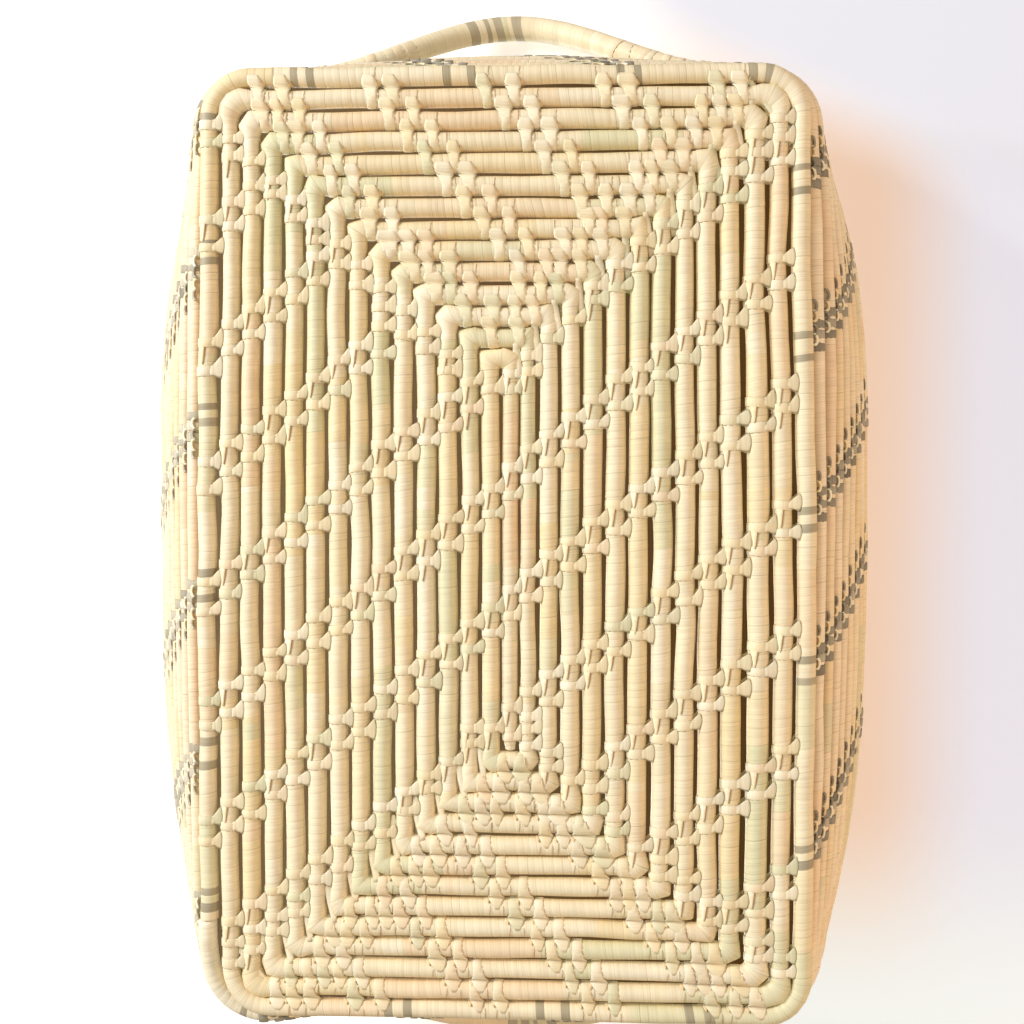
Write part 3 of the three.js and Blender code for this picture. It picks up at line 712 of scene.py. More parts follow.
def tail(piece, near, far, face, ahead, half, slip):
    """The rest of a strip past its knot: thin lines over the far rod, painted dark as the shade of its
    pleats, and a fold tinted tan as painted shadow beside the knot.
    """
    aside = unit(far.middle - near.middle)
    for side in (-LINE_ASIDE, LINE_ASIDE):
        if rng.random() < LINE_MISSING:
            continue
        angles = np.linspace(LINE_FROM, rng.uniform(*LINE_TO), len(LINE_WIDTHS))
        path, out = far.on(face, -aside, angles, LINE_LIFT)
        path = path + np.outer(slip + half * side * LINE_EDGES, ahead)
        piece.strip(path, ahead, out, LINE_WIDTHS, LINE_DEPTH, CREASE_SHADE)
    path, out = far.on(face, -aside, FOLD_ANGLES, FOLD_LIFT)
    path = path + np.outer(slip * FOLD_SLIP - half * FOLD_EDGES, ahead)
    piece.strip(path, ahead, out, half * FOLD_WIDTHS, LEAF_DEPTH, SHADED_FOLD)


def flap(piece, spot, face, aside, ahead, colour):
    """A tapered strip along the rod from band to band, with a slit beside it painted dark as its shade."""
    t = np.linspace(0, 1, len(SLIT_WIDTHS))
    length = rng.uniform(*FLAP_LENGTH)
    middle = rng.normal(*FLAP_ANGLE) + FLAP_TURN * t
    widths = mix(rng.uniform(*FLAP_WIDTH), FLAP_TIP, t)
    path, out = spot.on(face, aside, middle, FLAP_LIFT)
    path = path - np.outer(FLAP_START + t * length, ahead)
    piece.strip(path, np.cross(out, ahead), out, widths, LEAF_DEPTH, colour)
    beside = middle + np.degrees(widths / spot.radius) + SLIT_TURN
    slit, out = spot.on(face, aside, beside, SLIT_LIFT)
    slit = slit - np.outer(SLIT_START + t * length * SLIT_SHARE, ahead)
    piece.strip(slit, np.cross(out, ahead), out, SLIT_WIDTHS, SLIT_DEPTH, CREASE_SHADE)


STITCH_LEAVES, STITCH_SHARES = (PALE, STRAW, ROSY, GREENISH), [0.25, 0.45, 0.15, 0.15]
STITCH_MIX, STITCH_TONE = (0.2, 0.8), (0.99, 0.018)


def stitch_colour():
    leaf = STITCH_LEAVES[rng.choice(len(STITCH_LEAVES), p=STITCH_SHARES)]
    return mix(CREAM, leaf, rng.uniform(*STITCH_MIX)) * rng.normal(*STITCH_TONE)


# Stitches of the base: below on its underside, above on its inside
below, above = Piece(), Piece()
BAND_HALF, BAND_SKEW, HALF_SPREAD, SLIP_SPREAD = (2.0, 2.5), 0.25, (0.86, 1.16), (0.4, 1.5)


def stitch(near, far, ahead, form, half, slip, proud, flaps=False):
    """One stitch: a band round the near rod, a knot on each face, and the strip's loose end."""
    colour = stitch_colour()
    skew = rng.normal(0, BAND_SKEW)
    band(below, near.middle, near.travel, near.radius, rng.uniform(*BAND_HALF), proud, colour, skew)
    half = half * rng.uniform(*HALF_SPREAD)
    slip = slip * rng.uniform(*SLIP_SPREAD)
    knot(below, near, far, DOWN, ahead, form, half, slip, colour)
    knot(above, near, far, UP, ahead, form, half, slip, colour)
    if form is not SIDE_KNOT:
        tail(below, near, far, DOWN, ahead, half, slip)
    if flaps:
        flap(below, near, DOWN, unit(far.middle - near.middle), ahead, colour)


# Knob at the free end of the coil
KNOB_PLACE, KNOB_SHARE, KNOB_HALF, KNOB_PROUD = 1.3, 0.62, 1.9, 0.9
knob = Spot(KNOB_PLACE)
band(below, knob.middle, knob.travel, knob.radius * KNOB_SHARE, KNOB_HALF, KNOB_PROUD, PALE)

# Places along the gaps between rods that are taken by a stitch
taken = {}
LEAST_APART = 5.6


def claim(near_rod, far_rod, at):
    taken.setdefault(frozenset((near_rod, far_rod)), []).append(at)


def is_free(near_rod, far_rod, at):
    return all(abs(at - other) > LEAST_APART for other in taken.get(frozenset((near_rod, far_rod)), []))


# Half widths and slips of the stitches, and how far their bands stand proud
SIDE_SIZE, SIDE_PROUD = (4.0, 2.0), (0.28, 0.44)
END_SIZE, END_PROUD = (3.6, 2.2), (0.3, 0.42)
BEND_ROW_SIZE, BEND_ROW_PROUD = (4.8, 3.0), (0.3, 0.45)
BEND_COLUMN_SIZE, BEND_COLUMN_PROUD = (4.0, 1.6), (0.28, 0.42)
PAIR, PLACE_SPREAD, BEND_MARGIN = 5.7, 0.7, 1.0

# Stitches over the long stretches: slanting rows, each stitch spread towards the same side
ROW_SPACING, ROW_PHASE, ROW_SLANT, SIDE_ROWS = 54.0, 23.6, 0.757, range(-6, 7)
FEW_FLAPS, SOME_FLAPS, MANY_FLAPS, MANY_BEFORE = 0.1, 0.4, 0.85, 5
gaps = [(("right", k + 1), ("right", k), k) for k in range(1, TURNS)]
gaps += [(("right", 1), ("left", 1), 0)]
gaps += [(("left", k), ("left", k + 1), -k) for k in range(1, TURNS)]
for near_rod, far_rod, step in gaps:
    for row in SIDE_ROWS:
        y = ROW_PHASE + ROW_SPACING * row - ROW_SLANT * step * PITCH_X
        for shift in (PAIR, -PAIR):
            at = y + shift + rng.normal(0, PLACE_SPREAD)
            if straight(1, at, BEND_MARGIN, near_rod, far_rod):
                near, far = spots_at(1, at, near_rod, far_rod)
                first_flaps = MANY_FLAPS if step < MANY_BEFORE else SOME_FLAPS
                flaps = rng.random() < (FEW_FLAPS if shift < 0 else first_flaps)
                proud = rng.uniform(*SIDE_PROUD)
                stitch(near, far, NORTH, SIDE_KNOT, *SIDE_SIZE, proud, flaps)
                claim(near_rod, far_rod, at)

# Stitches over the rods that run across the ends: each is spread outward
END_PHASE, END_SLANT, BACK_SPACING, FRONT_SPACING, FRONT_SHIFT = 103, 8.3, 51.5, 53.5, -4
END_ROWS = range(-4, 5)


def end_row(name, row, turn):
    """Where a slanting row crosses a turn at the back or the front."""
    slant = (TURNS - 1 - turn) * END_SLANT
    if name == "front":
        return FRONT_SHIFT - (END_PHASE + row * FRONT_SPACING - slant)
    return END_PHASE + row * BACK_SPACING - slant


for name, ahead, form, last in (("back", EAST, END_KNOT, TURNS - 1), ("front", WEST, FRONT_KNOT, TURNS - 2)):
    for row in END_ROWS:
        for k in range(1, last + 1):
            for shift in (PAIR, -PAIR):
                at = end_row(name, row, k) + shift + rng.normal(0, PLACE_SPREAD)
                if straight(0, at, BEND_MARGIN, (name, k), (name, k + 1)):
                    near, far = spots_at(0, at, (name, k), (name, k + 1))
                    stitch(near, far, ahead, form, *END_SIZE, rng.uniform(*END_PROUD))
                    claim((name, k), (name, k + 1), at)

# Stitches on the straight stretches close beside the bends
BESIDE_ROW, BESIDE_COLUMN, BESIDE_SPREAD, BESIDE_MARGIN = (0.6, 9.0, 16.5), (1.5, 9.5), 0.5, 0.5


def beside_bend(side, turn, from_end):
    """Stitches from one turn to the next, beside the bend at one end of a stretch."""
    labels = [(side, turn), (side, turn + 1)]
    if not all(label in base_path.spans for label in labels):
        return
    axis = 1 if side in ("left", "right") else 0
    lo, hi = base_path.spans[labels[0]]
    for place in BESIDE_COLUMN if axis else BESIDE_ROW:
        s = hi - place if from_end else lo + place
        at = base_path.at(s)[axis] + rng.normal(0, BESIDE_SPREAD)
        if hi - lo < place + BEND_MARGIN or not straight(axis, at, BESIDE_MARGIN, labels[1]):
            continue
        if not is_free(*labels, at):
            continue
        near, far = spots_at(axis, at, *labels)
        if axis == 0:
            size = BEND_ROW_SIZE if from_end and place == BESIDE_ROW[0] else END_SIZE
            form = END_KNOT if side == "back" else FRONT_KNOT
            stitch(near, far, near.travel, form, *size, rng.uniform(*BEND_ROW_PROUD))
        else:
            near, far = sorted((near, far), key=lambda spot: -spot.middle[0])
            proud = rng.uniform(*BEND_COLUMN_PROUD)
            flaps = rng.random() < SOME_FLAPS
            stitch(near, far, NORTH, SIDE_KNOT, *BEND_COLUMN_SIZE, proud, flaps)
        claim(*labels, at)


STRAP_HALF, STRAP_DEEP, STRAP_LIFT, STRAP_ANGLES = (1.5, 1.9), 0.45, 0.8, (35, 70)
STRAP_INNER, STRAP_OUTER, STRAP_ROW, STRAP_ENDS = (4, 7), (9, 12), (1, 3), np.array([-1.0, 4.5])
STRAP_WIDTHS = np.array([0.8, 0.95, 1.0, 1.1, 0.5])
STRAP_DEPTHS = np.array([0.3, 0.5, 0.6, 0.6, 0.15])


def corner_strap(piece, side, turn, face):
    """A strip from the next turn's row, past the bend and down the gap between columns."""
    if (side + "_bend", turn + 1) not in base_path.spans:
        return
    bend = base_path.spans[side + "_bend", turn]
    next_bend = base_path.spans[side + "_bend", turn + 1]
    inner = Spot(bend[0] - rng.uniform(*STRAP_INNER))
    outer = Spot(next_bend[0] - rng.uniform(*STRAP_OUTER))
    row = Spot(next_bend[1] + rng.uniform(*STRAP_ROW))
    inward = -unit(np.cross(UP, row.travel))
    start, _ = row.on(face, inward, STRAP_ANGLES)
    gap = mix(inner.middle, outer.middle, 0.5) + face * ROD_RADIUS * STRAP_DEEP
    halfway = mix(start[-1], gap, 0.5) + face * STRAP_LIFT
    path = np.concatenate([start, [halfway], gap - np.outer(STRAP_ENDS, inner.travel)])
    widths = rng.uniform(*STRAP_HALF) * STRAP_WIDTHS
    across = unit(np.cross(unit(gap - start[0]), face))
    piece.strip(path, across, face, widths, STRAP_DEPTHS, stitch_colour(), ROOF)


for k in range(1, TURNS):
    for side in ("left", "back", "right", "front"):
        beside_bend(side, k, True)
        beside_bend(side, k, False)
    for side in ("left", "right"):
        corner_strap(below, side, k, DOWN)
        corner_strap(above, side, k, UP)


# Dyed rows on the wall: dark bands side by side, with pale loops and dark hooks between the rounds
dark, pale = Piece(), Piece()
ROW_ADVANCE, ROW_SPREAD, SPLICE_BEFORE, SPLICE_AFTER = 6.0, 0.4, 12, 9
DARK_BANDS = [(-5.8, 2.1, DYED), (0.2, 1.9, DYED_WORN), (4.6, 2.1, DYED)]
HOOKS = [(-2.6, pale, PALE), (7.6, pale, STRAW), (2.4, dark, DYED), (12.2, dark, DYED)]
HOOK_WIDTHS = np.array([0.5, 0.9, 1.1, 1.15, 1.1, 0.9, 0.5])
HOOK_SWEEP, HOOK_HALF, HOOK_SIZE, HOOK_DROP, HOOK_OUT = 1.15, 0.74, (2.0, 2.6), 0.4, 0.8
DYE_SPREAD, DARK_HALF, DARK_PROUD, DARK_SKEW = 0.16, (0.9, 1.15), (0.25, 0.42), 0.3
HOOK_SPREAD, HOOK_DEPTH, LIT_SIDE_PALER, ALONG_STEP = 0.06, 0.9, 0.4, 1.5


def hook(piece, middle, side, ahead, out, radius, colour):
    """A bent strand, open on one side."""
    a = np.linspace(-0.5, 0.5, len(HOOK_WIDTHS)) * HOOK_SWEEP * np.pi
    spoke = np.outer(np.cos(a), side) + np.outer(np.sin(a), ahead)
    path = middle + spoke * radius
    piece.strip(path, spoke, out, HOOK_HALF * HOOK_WIDTHS, HOOK_HALF * HOOK_DEPTH, colour)


def wall_place(level, distance):
    """Middles of a round and the one below it, and the ways along, up and out of the wall."""
    here = on_round(level, distance)
    travel = unit(on_round(level, distance + ALONG_STEP) - here)
    lower = on_round(level - 1, distance)
    rise = here - lower
    rise = unit(rise - travel * np.dot(rise, travel))
    out = np.cross(rise, travel)
    return here, lower, travel, rise, out * np.sign(np.dot(out[:2], here[:2]))


def paler_where_lit(colour, here):
    """Painted light: the rows on the side of the tray that faces the key lamp are mixed towards pale."""
    return mix(colour, PALE, LIT_SIDE_PALER if here[0] > EDGE_X else 0)


for start in row_starts:
    for level in range(1, WALL_TURNS + 1):
        distance = (start + level * ROW_ADVANCE) % perimeter
        if distance < SPLICE_AFTER or distance > perimeter - SPLICE_BEFORE:
            continue
        for shift, half, dye in DARK_BANDS:
            place = distance + shift + rng.normal(0, ROW_SPREAD)
            here, lower, travel, rise, out = wall_place(level, place)
            colour = paler_where_lit(dye, here) * rng.normal(1, DYE_SPREAD)
            half, proud = half * rng.uniform(*DARK_HALF), rng.uniform(*DARK_PROUD)
            band(dark, here, travel, WALL_RADIUS, half, proud, colour, rng.normal(0, DARK_SKEW))
        for shift, piece, leaf in HOOKS:
            place = distance + shift + rng.normal(0, ROW_SPREAD)
            here, lower, travel, rise, out = wall_place(level, place)
            for face in (out, -out):
                seam = (here + lower) / 2 + face * (WALL_RADIUS * HOOK_OUT) - rise * HOOK_DROP
                size = rng.uniform(*HOOK_SIZE)
                colour = paler_where_lit(leaf, here) * rng.normal(1, HOOK_SPREAD)
                hook(piece, seam, rise, travel, face, size, colour)


# Handles: arches wound with leaf strip, darker turns at the crown, tails bound to the rim
CROWN_BANDS = [(20.8, 2.3), (13.2, 1.7), (7.2, 2.1), (-1.4, 2.3)]
HANDLE_STEPS, HANDLE_SWELL, HANDLE_SWELL_STEP = 140, 0.02, 20
HANDLE_SLANT, HANDLE_SLANT_SPREAD, LOOSE_SPREAD, LOOSE_SKEW = 0.12, 0.07, 0.015, 0.9
SOFT_LINE, SOFT_SWELL, TAIL_TAPER, TAIL_TAPER_RUN = 0.7, 0.5, 0.6, 8
LOOSE_BANDS, LOOSE_HALF, LOOSE_PROUD = np.linspace(0.56, 0.96, 7), (1.8, 3.2), (0.12, 0.35)
SPINE_PLACES, SPINE_SHAPE = np.linspace(-0.2, -1.0, 16), np.linspace(0.12, 0.95, 16)
SPINE_SINK, SPINE_HALF, SPINE_LEAST, SPINE_DEPTH = 0.93, 2.6, 0.2, 2.2
LOOSE_TONE, LASHING_TONE = (0.98, 0.03), (1, 0.03)


def rim_frame(distance, reach=0.5):
    """The rim at a distance round the tray, the way it runs and the way a handle leans."""
    rim = on_round(WALL_TURNS, distance)
    along = unit(on_round(WALL_TURNS, distance + reach) - on_round(WALL_TURNS, distance - reach))
    toward = unit(np.cross(UP, along)) * math.sin(HANDLE_LEAN) + UP * math.cos(HANDLE_LEAN)
    return rim, along, toward


def handle(name, centre, seed):
    """A wound arch over a place on the rim, with loose bands and a fold along one half, tinted tan as
    painted shade.
    """
    piece = Piece(chart_rings=80, chart_ratio=3)
    d = np.linspace(-HALF_HANDLE, HALF_HANDLE, HANDLE_STEPS)
    rim, along, toward = rim_frame(centre + d)
    arch = np.cos(np.minimum(np.abs(d) / (HANDLE_SPAN / 2), 1) * np.pi / 2)
    path = Path([("arch", rim + toward * (SEAT + HANDLE_RISE * arch * arch)[:, None])])
    local, middles, s, swell, line = wound_strip(path, HANDLE_WRAP_WIDTH, seed)
    radius = np.interp(s, path.along, mix(TAIL_DIAMETER, HANDLE_DIAMETER, arch) / 2)
    radius = radius * (1 + slow_noise(s, HANDLE_SWELL_STEP, HANDLE_SWELL, seed + 3))
    from_end = np.minimum(s, path.length - s)
    radius = radius * mix(TAIL_TAPER, 1, np.sqrt(np.clip(from_end / TAIL_TAPER_RUN, 0, 1)))
    travel = path.frames(s)[0]
    side = unit(np.cross(points_at(s, path.along, toward), travel))
    rise = np.cross(travel, side)
    a = np.arange(HANDLE_SIDES) / HANDLE_SIDES * 2 * np.pi
    wide = radius + swell * SOFT_SWELL
    slant = (HANDLE_SLANT + slow_noise(s, SLANT_STEP, HANDLE_SLANT_SPREAD, seed + 4)) * radius
    points = ring_points(path.at(s), side, rise, travel, wide, wide, slant, a)
    colours = leaf_tints(middles, local) * HANDLE_TONE
    place = np.interp(middles, path.along, d)
    for crown, half in CROWN_BANDS:
        colours[np.abs(place - crown) < half] = CROWN_GREY
    colours = np.repeat(colours, len(TURN_RINGS), axis=0) * mix(line, 1, SOFT_LINE)
    piece.rings(points, colours[:, None], s)

    def at(place):
        """Middle, way, way up and radius at a share of the way from the crown to a foot."""
        here = np.interp(place * HANDLE_SPAN / 2, d, path.along)
        i = np.argmin(np.abs(s - here))
        return path.at(here), travel[i], rise[i], radius[i]

    for end in (-1, 1):
        for place in LOOSE_BANDS:
            middle, way, _, size = at(end * place + local.normal(0, LOOSE_SPREAD))
            tone = mix(CREAM, ROSY, local.random()) * local.normal(*LOOSE_TONE)
            half, proud = local.uniform(*LOOSE_HALF), local.uniform(*LOOSE_PROUD)
            band(piece, middle, way, size, half, proud, tone, local.normal(0, LOOSE_SKEW))
    spine = [at(place) for place in SPINE_PLACES]
    middle, way, up, size = (np.array(part) for part in zip(*spine))
    ridge = middle + up * (size * SPINE_SINK)[:, None]
    over = np.sin(SPINE_SHAPE * np.pi)
    widths = SPINE_HALF * over + SPINE_LEAST
    piece.strip(ridge, np.cross(way, up), up, widths, SPINE_DEPTH * over, SHADED_FOLD, ROOF)
    piece.finish(name + "_handle", handle_leaf, "handle_leaf", [name + "_handle_wrap"])


LASHING_TURNS, LASHING_PITCH, LASHING_OUT = 4, 3.1, 0.35
LASHING_HALF, LASHING_DEPTH, LASHING_STEPS, LASHING_SPREAD = 1.6, 0.5, 9, 0.12


def lashing(centre, end, seed, node):
    """Turns of leaf round the rim and one tail of a handle."""
    piece = Piece(chart_rings=24, chart_ratio=1)
    local = np.random.default_rng(seed)
    a = np.linspace(-np.pi / 2, np.pi / 2, LASHING_STEPS)
    for turn in range(LASHING_TURNS):
        d = centre + end * (HALF_HANDLE - TAIL_LENGTH / 2)
        d += (turn - (LASHING_TURNS - 1) / 2) * LASHING_PITCH
        rim, along, toward = rim_frame(d)
        side = unit(np.cross(along, toward))
        over = np.outer(np.cos(a), toward) + np.outer(np.sin(a), side)
        top = rim + toward * SEAT + over * (TAIL_DIAMETER / 2 + LASHING_OUT)
        foot = rim - over * (WALL_RADIUS + LASHING_OUT)
        path = np.concatenate([top, foot])
        path += along * local.normal(0, LASHING_SPREAD, (len(path), 1))
        tone = mix(CREAM, ROSY, local.random()) * local.normal(*LASHING_TONE)
        out = np.concatenate([over, -over])
        piece.strip(path, along, out, LASHING_HALF, LASHING_DEPTH, tone, closed=True)
    piece.finish(node + "_wound", handle_leaf, "handle_leaf", [node])


# Node trees: an input takes a value, an output, or a node for its first output
def feed(tree, node, inputs):
    for name, value in inputs.items():
        if isinstance(value, bpy.types.Node):
            value = value.outputs[0]
        if isinstance(value, bpy.types.NodeSocket):
            tree.links.new(value, node.inputs[name])
        else:
            node.inputs[name].default_value = value


def add_node(tree, kind, inputs={}, **settings):
    node = tree.nodes.new("ShaderNode" + kind)
    for name, value in settings.items():
        setattr(node, name, value)
    feed(tree, node, inputs)
    return node


def ranged(tree, value, start, end, low, high):
    """Turns the range from start to end into one from low to high."""
    ends = {"From Min": start, "From Max": end, "To Min": low, "To Max": high}
    return add_node(tree, "MapRange", {"Value": value, **ends})


# Materials: dry leaf with fine veins along the strip, dyed leaf, and raw stems
VEIN_SCALE, EDGE_SCALE, PATCH_SCALE, GRAIN_SCALE = 1.7, 0.62, 130.0, 260.0
NOISE_LOW, NOISE_HIGH, EDGE_LINE, PALE_VEIN, PALE_PATCH = 0.3, 0.7, 0.07, 0.4, 0.5
STEM_DARK, STEM_LIGHT, STEM_ROUGHNESS = srgb(150, 112, 66), srgb(196, 158, 104), 0.8


def leaf_material(name, roughness, vein, edge, mottle, shine):
    """Leaf in the tints of the mesh, with veins, edge lines and patches."""
    material = bpy.data.materials.new(name)
    material.use_nodes = True
    tree = material.node_tree
    tint = add_node(tree, "Attribute", attribute_name="tint")
    run = add_node(tree, "Attribute", attribute_name="run").outputs["Fac"]
    place = add_node(tree, "TexCoord").outputs["Object"]
    veins = add_node(tree, "TexNoise", noise_dimensions="1D")
    feed(tree, veins, {"W": run, "Scale": VEIN_SCALE, "Detail": 2.0})
    patches = add_node(tree, "TexNoise", {"Vector": place, "Scale": PATCH_SCALE, "Detail": 3.0})
    edges = add_node(tree, "TexVoronoi", voronoi_dimensions="1D", feature="DISTANCE_TO_EDGE")
    feed(tree, edges, {"W": run, "Scale": EDGE_SCALE})
    share = ranged(tree, veins, NOISE_LOW, NOISE_HIGH, 1 - vein, 1 + vein * PALE_VEIN)
    for other in (
        ranged(tree, edges, 0.0, EDGE_LINE, 1 - edge, 1.0),
        ranged(tree, patches, NOISE_LOW, NOISE_HIGH, 1 - mottle, 1 + mottle * PALE_PATCH),
    ):
        share = add_node(tree, "Math", {0: share, 1: other}, operation="MULTIPLY")
    colour = add_node(tree, "VectorMath", {0: tint, "Scale": share}, operation="SCALE")
    surface = {"Base Color": colour, "Roughness": roughness, "Specular IOR Level": shine}
    feed(tree, tree.nodes["Principled BSDF"], surface)
    return material


def stem_material():
    material = bpy.data.materials.new("stem")
    material.use_nodes = True
    tree = material.node_tree
    grain = add_node(tree, "TexNoise", {"Scale": GRAIN_SCALE})
    colours = add_node(tree, "ValToRGB", {"Fac": grain})
    for element, colour in zip(colours.color_ramp.elements, (STEM_DARK, STEM_LIGHT)):
        element.color = (*colour, 1)
    surface = {"Base Color": colours, "Roughness": STEM_ROUGHNESS}
    feed(tree, tree.nodes["Principled BSDF"], surface)
    return material


rod_leaf = leaf_material("rod_leaf", roughness=0.5, vein=0.08, edge=0.16, mottle=0.05, shine=0.3)
stitch_leaf = leaf_material("stitch_leaf", roughness=0.55, vein=0.06, edge=0.06, mottle=0.06, shine=0.25)
dyed_leaf = leaf_material("dyed_leaf", roughness=0.65, vein=0.22, edge=0.15, mottle=0.14, shine=0.2)
handle_leaf = leaf_material("handle_leaf", roughness=0.48, vein=0.08, edge=0.12, mottle=0.06, shine=0.3)
stem = stem_material()

# Pieces in place of CAD nodes; the handle cores stay and only take a material
nodes = frame["nodes"]
base_stitch_nodes = sorted(n for n in nodes if n.startswith("base_stitch"))
wall_stitch_nodes = sorted(n for n in nodes if n.startswith("wall_stitch"))
rods.finish("base_rods", rod_leaf, "leaf_rod", ["base_coil"])
walls.finish("wall_rods", rod_leaf, "leaf_rod", ["wall_coil"])
below.finish("base_stitches", stitch_leaf, "leaf_stitch", base_stitch_nodes)
above.finish("base_stitches_inside", stitch_leaf, "leaf_stitch")
dark.finish("wall_stitches", dyed_leaf, "dyed_stitch", wall_stitch_nodes)
pale.finish("wall_knots", stitch_leaf, "leaf_stitch")
front_middle, back_middle = place_round(0, -EDGE_Y), place_round(0, EDGE_Y)
handle("front", front_middle, seed=61)
handle("back", back_middle, seed=71)
lashing(front_middle, -1, 81, "front_right_lashing")
lashing(front_middle, 1, 82, "front_left_lashing")
lashing(back_middle, -1, 83, "back_left_lashing")
lashing(back_middle, 1, 84, "back_right_lashing")
for core in ("front_handle_core", "back_handle_core"):
    nodes[core].data.materials.clear()
    nodes[core].data.materials.append(stem)


# Stage: planes that only the camera sees, each from one side: a floor, a backdrop and the shade in the tray
def stage_plane(name, corners, colour, glow_strength):
    mesh = bpy.data.meshes.new(name)
    mesh.from_pydata(corners, [], [range(len(corners))])
    material = bpy.data.materials.new(name)
    material.use_nodes = True
    tree = material.node_tree
    tree.nodes.clear()
    diffuse = add_node(tree, "BsdfDiffuse", {"Color": colour})
    glow = add_node(tree, "Emission", {"Color": colour, "Strength": glow_strength})
    lit = add_node(tree, "AddShader", {0: diffuse, 1: glow})
    clear = add_node(tree, "BsdfTransparent")
    seen = add_node(tree, "LightPath").outputs["Is Camera Ray"]
    behind = add_node(tree, "NewGeometry").outputs["Backfacing"]
    front = add_node(tree, "Math", {0: seen, 1: behind}, operation="SUBTRACT", use_clamp=True)
    choose = add_node(tree, "MixShader", {"Fac": front, 1: clear, 2: lit})
    add_node(tree, "OutputMaterial", {"Surface": choose})
    mesh.materials.append(material)
    plane = bpy.data.objects.new(name, mesh)
    bpy.context.scene.collection.objects.link(plane)
    return tree, (diffuse, glow)


def fade(tree, direction, ends, shaders, first, last):
    """Colours a stage plane from one colour or socket to another along a direction."""
    where = add_node(tree, "NewGeometry").outputs["Position"]
    distance = add_node(tree, "VectorMath", {0: where, 1: direction}, operation="DOT_PRODUCT")
    share = add_node(tree, "MapRange", interpolation_type="SMOOTHSTEP")
    feed(tree, share, {"Value": distance.outputs["Value"], "From Min": ends[0], "From Max": ends[1]})
    tint = add_node(tree, "Mix", data_type="RGBA")
    feed(tree, tint, {"Factor": share, "A": first, "B": last})
    for shader in shaders:
        feed(tree, shader, {"Color": tint.outputs["Result"]})
    return tint.outputs["Result"]


def sheet(z, reach=3.0):
    return [(-reach, -reach, z), (reach, -reach, z), (reach, reach, z), (-reach, reach, z)]


# Heights of the stage planes in metres, and their colours
FLOOR_Z, SHADE_Z, BACKDROP_Z = -0.0005, 0.0125, 0.128
FLOOR_GREY = (0.9, 0.9, 0.9, 1)
SHADE_LIGHT, SHADE_DEEP = (0.15, 0.105, 0.06, 1), (0.068, 0.035, 0.01, 1)
WHITE, PALE_SHADE, ROSY_SHADE = (0.96, 0.96, 0.97, 1), (0.82, 0.92, 1.0, 1), (0.78, 0.62, 0.53, 1)
# The second colour on the next line is a broad painted shade on the lit part of the backdrop
COOL_SHADE, BROAD_SHADE = (0.73, 0.78, 0.95, 1), (0.58, 0.61, 0.69, 1)
SHADOW_EDGE = (-0.417, 0.909, 0.0)

# Where the colours of the stage fade into each other, in metres
ACROSS_TRAY, BESIDE_TRAY, PAST_TRAY, BEFORE_TRAY = (-0.12, 0.12), (0.02, 0.13), (0.18, 0.25), (0.13, 0.26)
BEYOND_TRAY, AT_SHADOW_EDGE = (-0.02, 0.1), (0.24, 0.29)

stage_plane("floor", sheet(FLOOR_Z), FLOOR_GREY, glow_strength=0.0)
in_tray = (edge + edge_out * (PITCH_X * (1 - edge_climb))[:, None]) * MM
in_tray[:, 2] = SHADE_Z
tree, shaders = stage_plane("shade_in_tray", in_tray.tolist(), SHADE_DEEP, glow_strength=0.6)
fade(tree, WEST, ACROSS_TRAY, shaders, SHADE_LIGHT, SHADE_DEEP)

# Painted light and shade on the backdrop: a rosy tint, as of light cast back by the tray, close beside its
# shaded wall up to the edge of the shadow, cooler shades past the tray and in front of it, and a broad grey
# shade beyond the shadow's edge
tree, shaders = stage_plane("backdrop", sheet(BACKDROP_Z)[::-1], WHITE, glow_strength=0.4)
beside = fade(tree, WEST, BESIDE_TRAY, [], WHITE, ROSY_SHADE)
beside = fade(tree, WEST, PAST_TRAY, [], beside, COOL_SHADE)
in_front = fade(tree, WEST, BESIDE_TRAY, [], WHITE, PALE_SHADE)
beside = fade(tree, SOUTH, BEFORE_TRAY, [], beside, in_front)
beyond = fade(tree, WEST, BEYOND_TRAY, [], WHITE, BROAD_SHADE)
fade(tree, SHADOW_EDGE, AT_SHADOW_EDGE, shaders, beside, beyond)


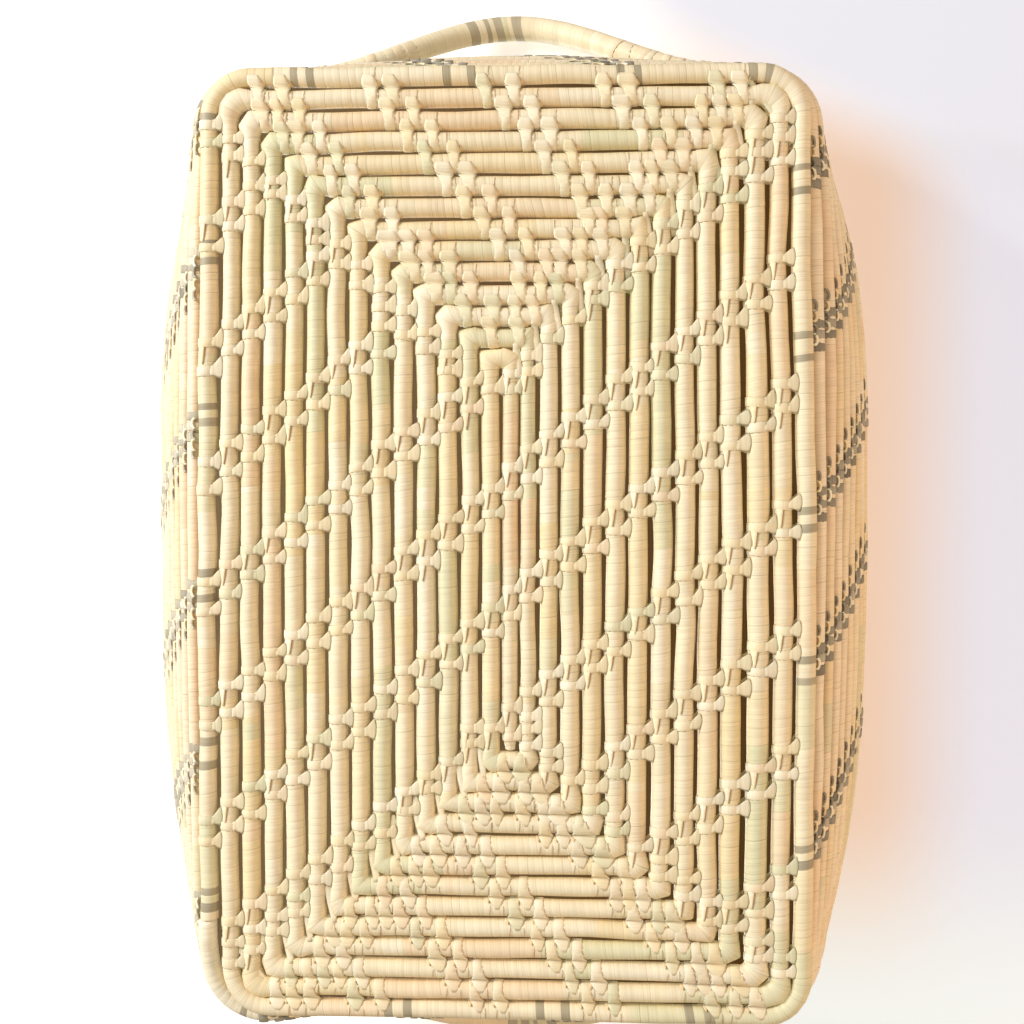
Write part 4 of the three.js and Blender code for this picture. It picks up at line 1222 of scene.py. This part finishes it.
# Lamps: a cool key and a warm fill from below, and a key from above
def lamp(name, place, target, size, watts, colour):
    light = bpy.data.lights.new(name, "AREA")
    light.energy = watts
    light.size = size
    light.color = colour
    obj = bpy.data.objects.new(name, light)
    bpy.context.scene.collection.objects.link(obj)
    obj.location = place
    obj.rotation_euler = (Vector(target) - Vector(place)).to_track_quat("-Z", "Y").to_euler()


lamp("key_below", (1.75, 0.85, -0.9), (0, 0, 0.03), size=0.8, watts=52, colour=(0.95, 0.96, 1.0))
lamp("fill_below", (-1.4, -0.3, -0.35), (0, 0, 0.04), size=0.62, watts=8.4, colour=(1.0, 0.57, 0.28))
lamp("key_above", (0.9, -0.7, 1.6), (0, 0, 0.03), size=1.2, watts=30, colour=(0.85, 0.96, 1.0))

# World: warm light all round, and white where the camera looks past the stage
WARM_LIGHT, WARM_STRENGTH, PLAIN_WHITE = (1.0, 0.91, 0.78, 1), 0.54, (1, 1, 1, 1)
world = bpy.data.worlds.new("studio")
bpy.context.scene.world = world
world.use_nodes = True
tree = world.node_tree
warm = tree.nodes["Background"]
feed(tree, warm, {"Color": WARM_LIGHT, "Strength": WARM_STRENGTH})
white = add_node(tree, "Background", {"Color": PLAIN_WHITE, "Strength": 1.0})
seen = add_node(tree, "LightPath").outputs["Is Camera Ray"]
choose = add_node(tree, "MixShader", {"Fac": seen, 1: warm, 2: white})
feed(tree, tree.nodes["World Output"], {"Surface": choose})

# Camera: the place, the way and the focal length of the photograph, in metres and in pixels
CAMERA_PLACE, CAMERA_WAY = np.array([-0.0391, 0.0533, -0.6507]), np.array([0.0524, -0.0545, 0.9971])
SENSOR_WIDTH, FOCAL_PIXELS, PHOTO_PIXELS, NEAREST = 36, 1473, 1024, 0.01
camera = bpy.data.cameras.new("camera")
camera.sensor_width = SENSOR_WIDTH
camera.lens = SENSOR_WIDTH * FOCAL_PIXELS / PHOTO_PIXELS
camera.clip_start = NEAREST
view = bpy.data.objects.new("camera", camera)
bpy.context.scene.collection.objects.link(view)
forward = unit(CAMERA_WAY)
right = unit(np.cross(forward, NORTH))
upward = np.cross(right, forward)
turned = np.eye(4)
turned[:3] = np.stack([right, upward, -forward, CAMERA_PLACE], -1)
view.matrix_world = Matrix(turned.tolist())
bpy.context.scene.camera = view
bpy.context.scene.view_settings.view_transform = "Standard"
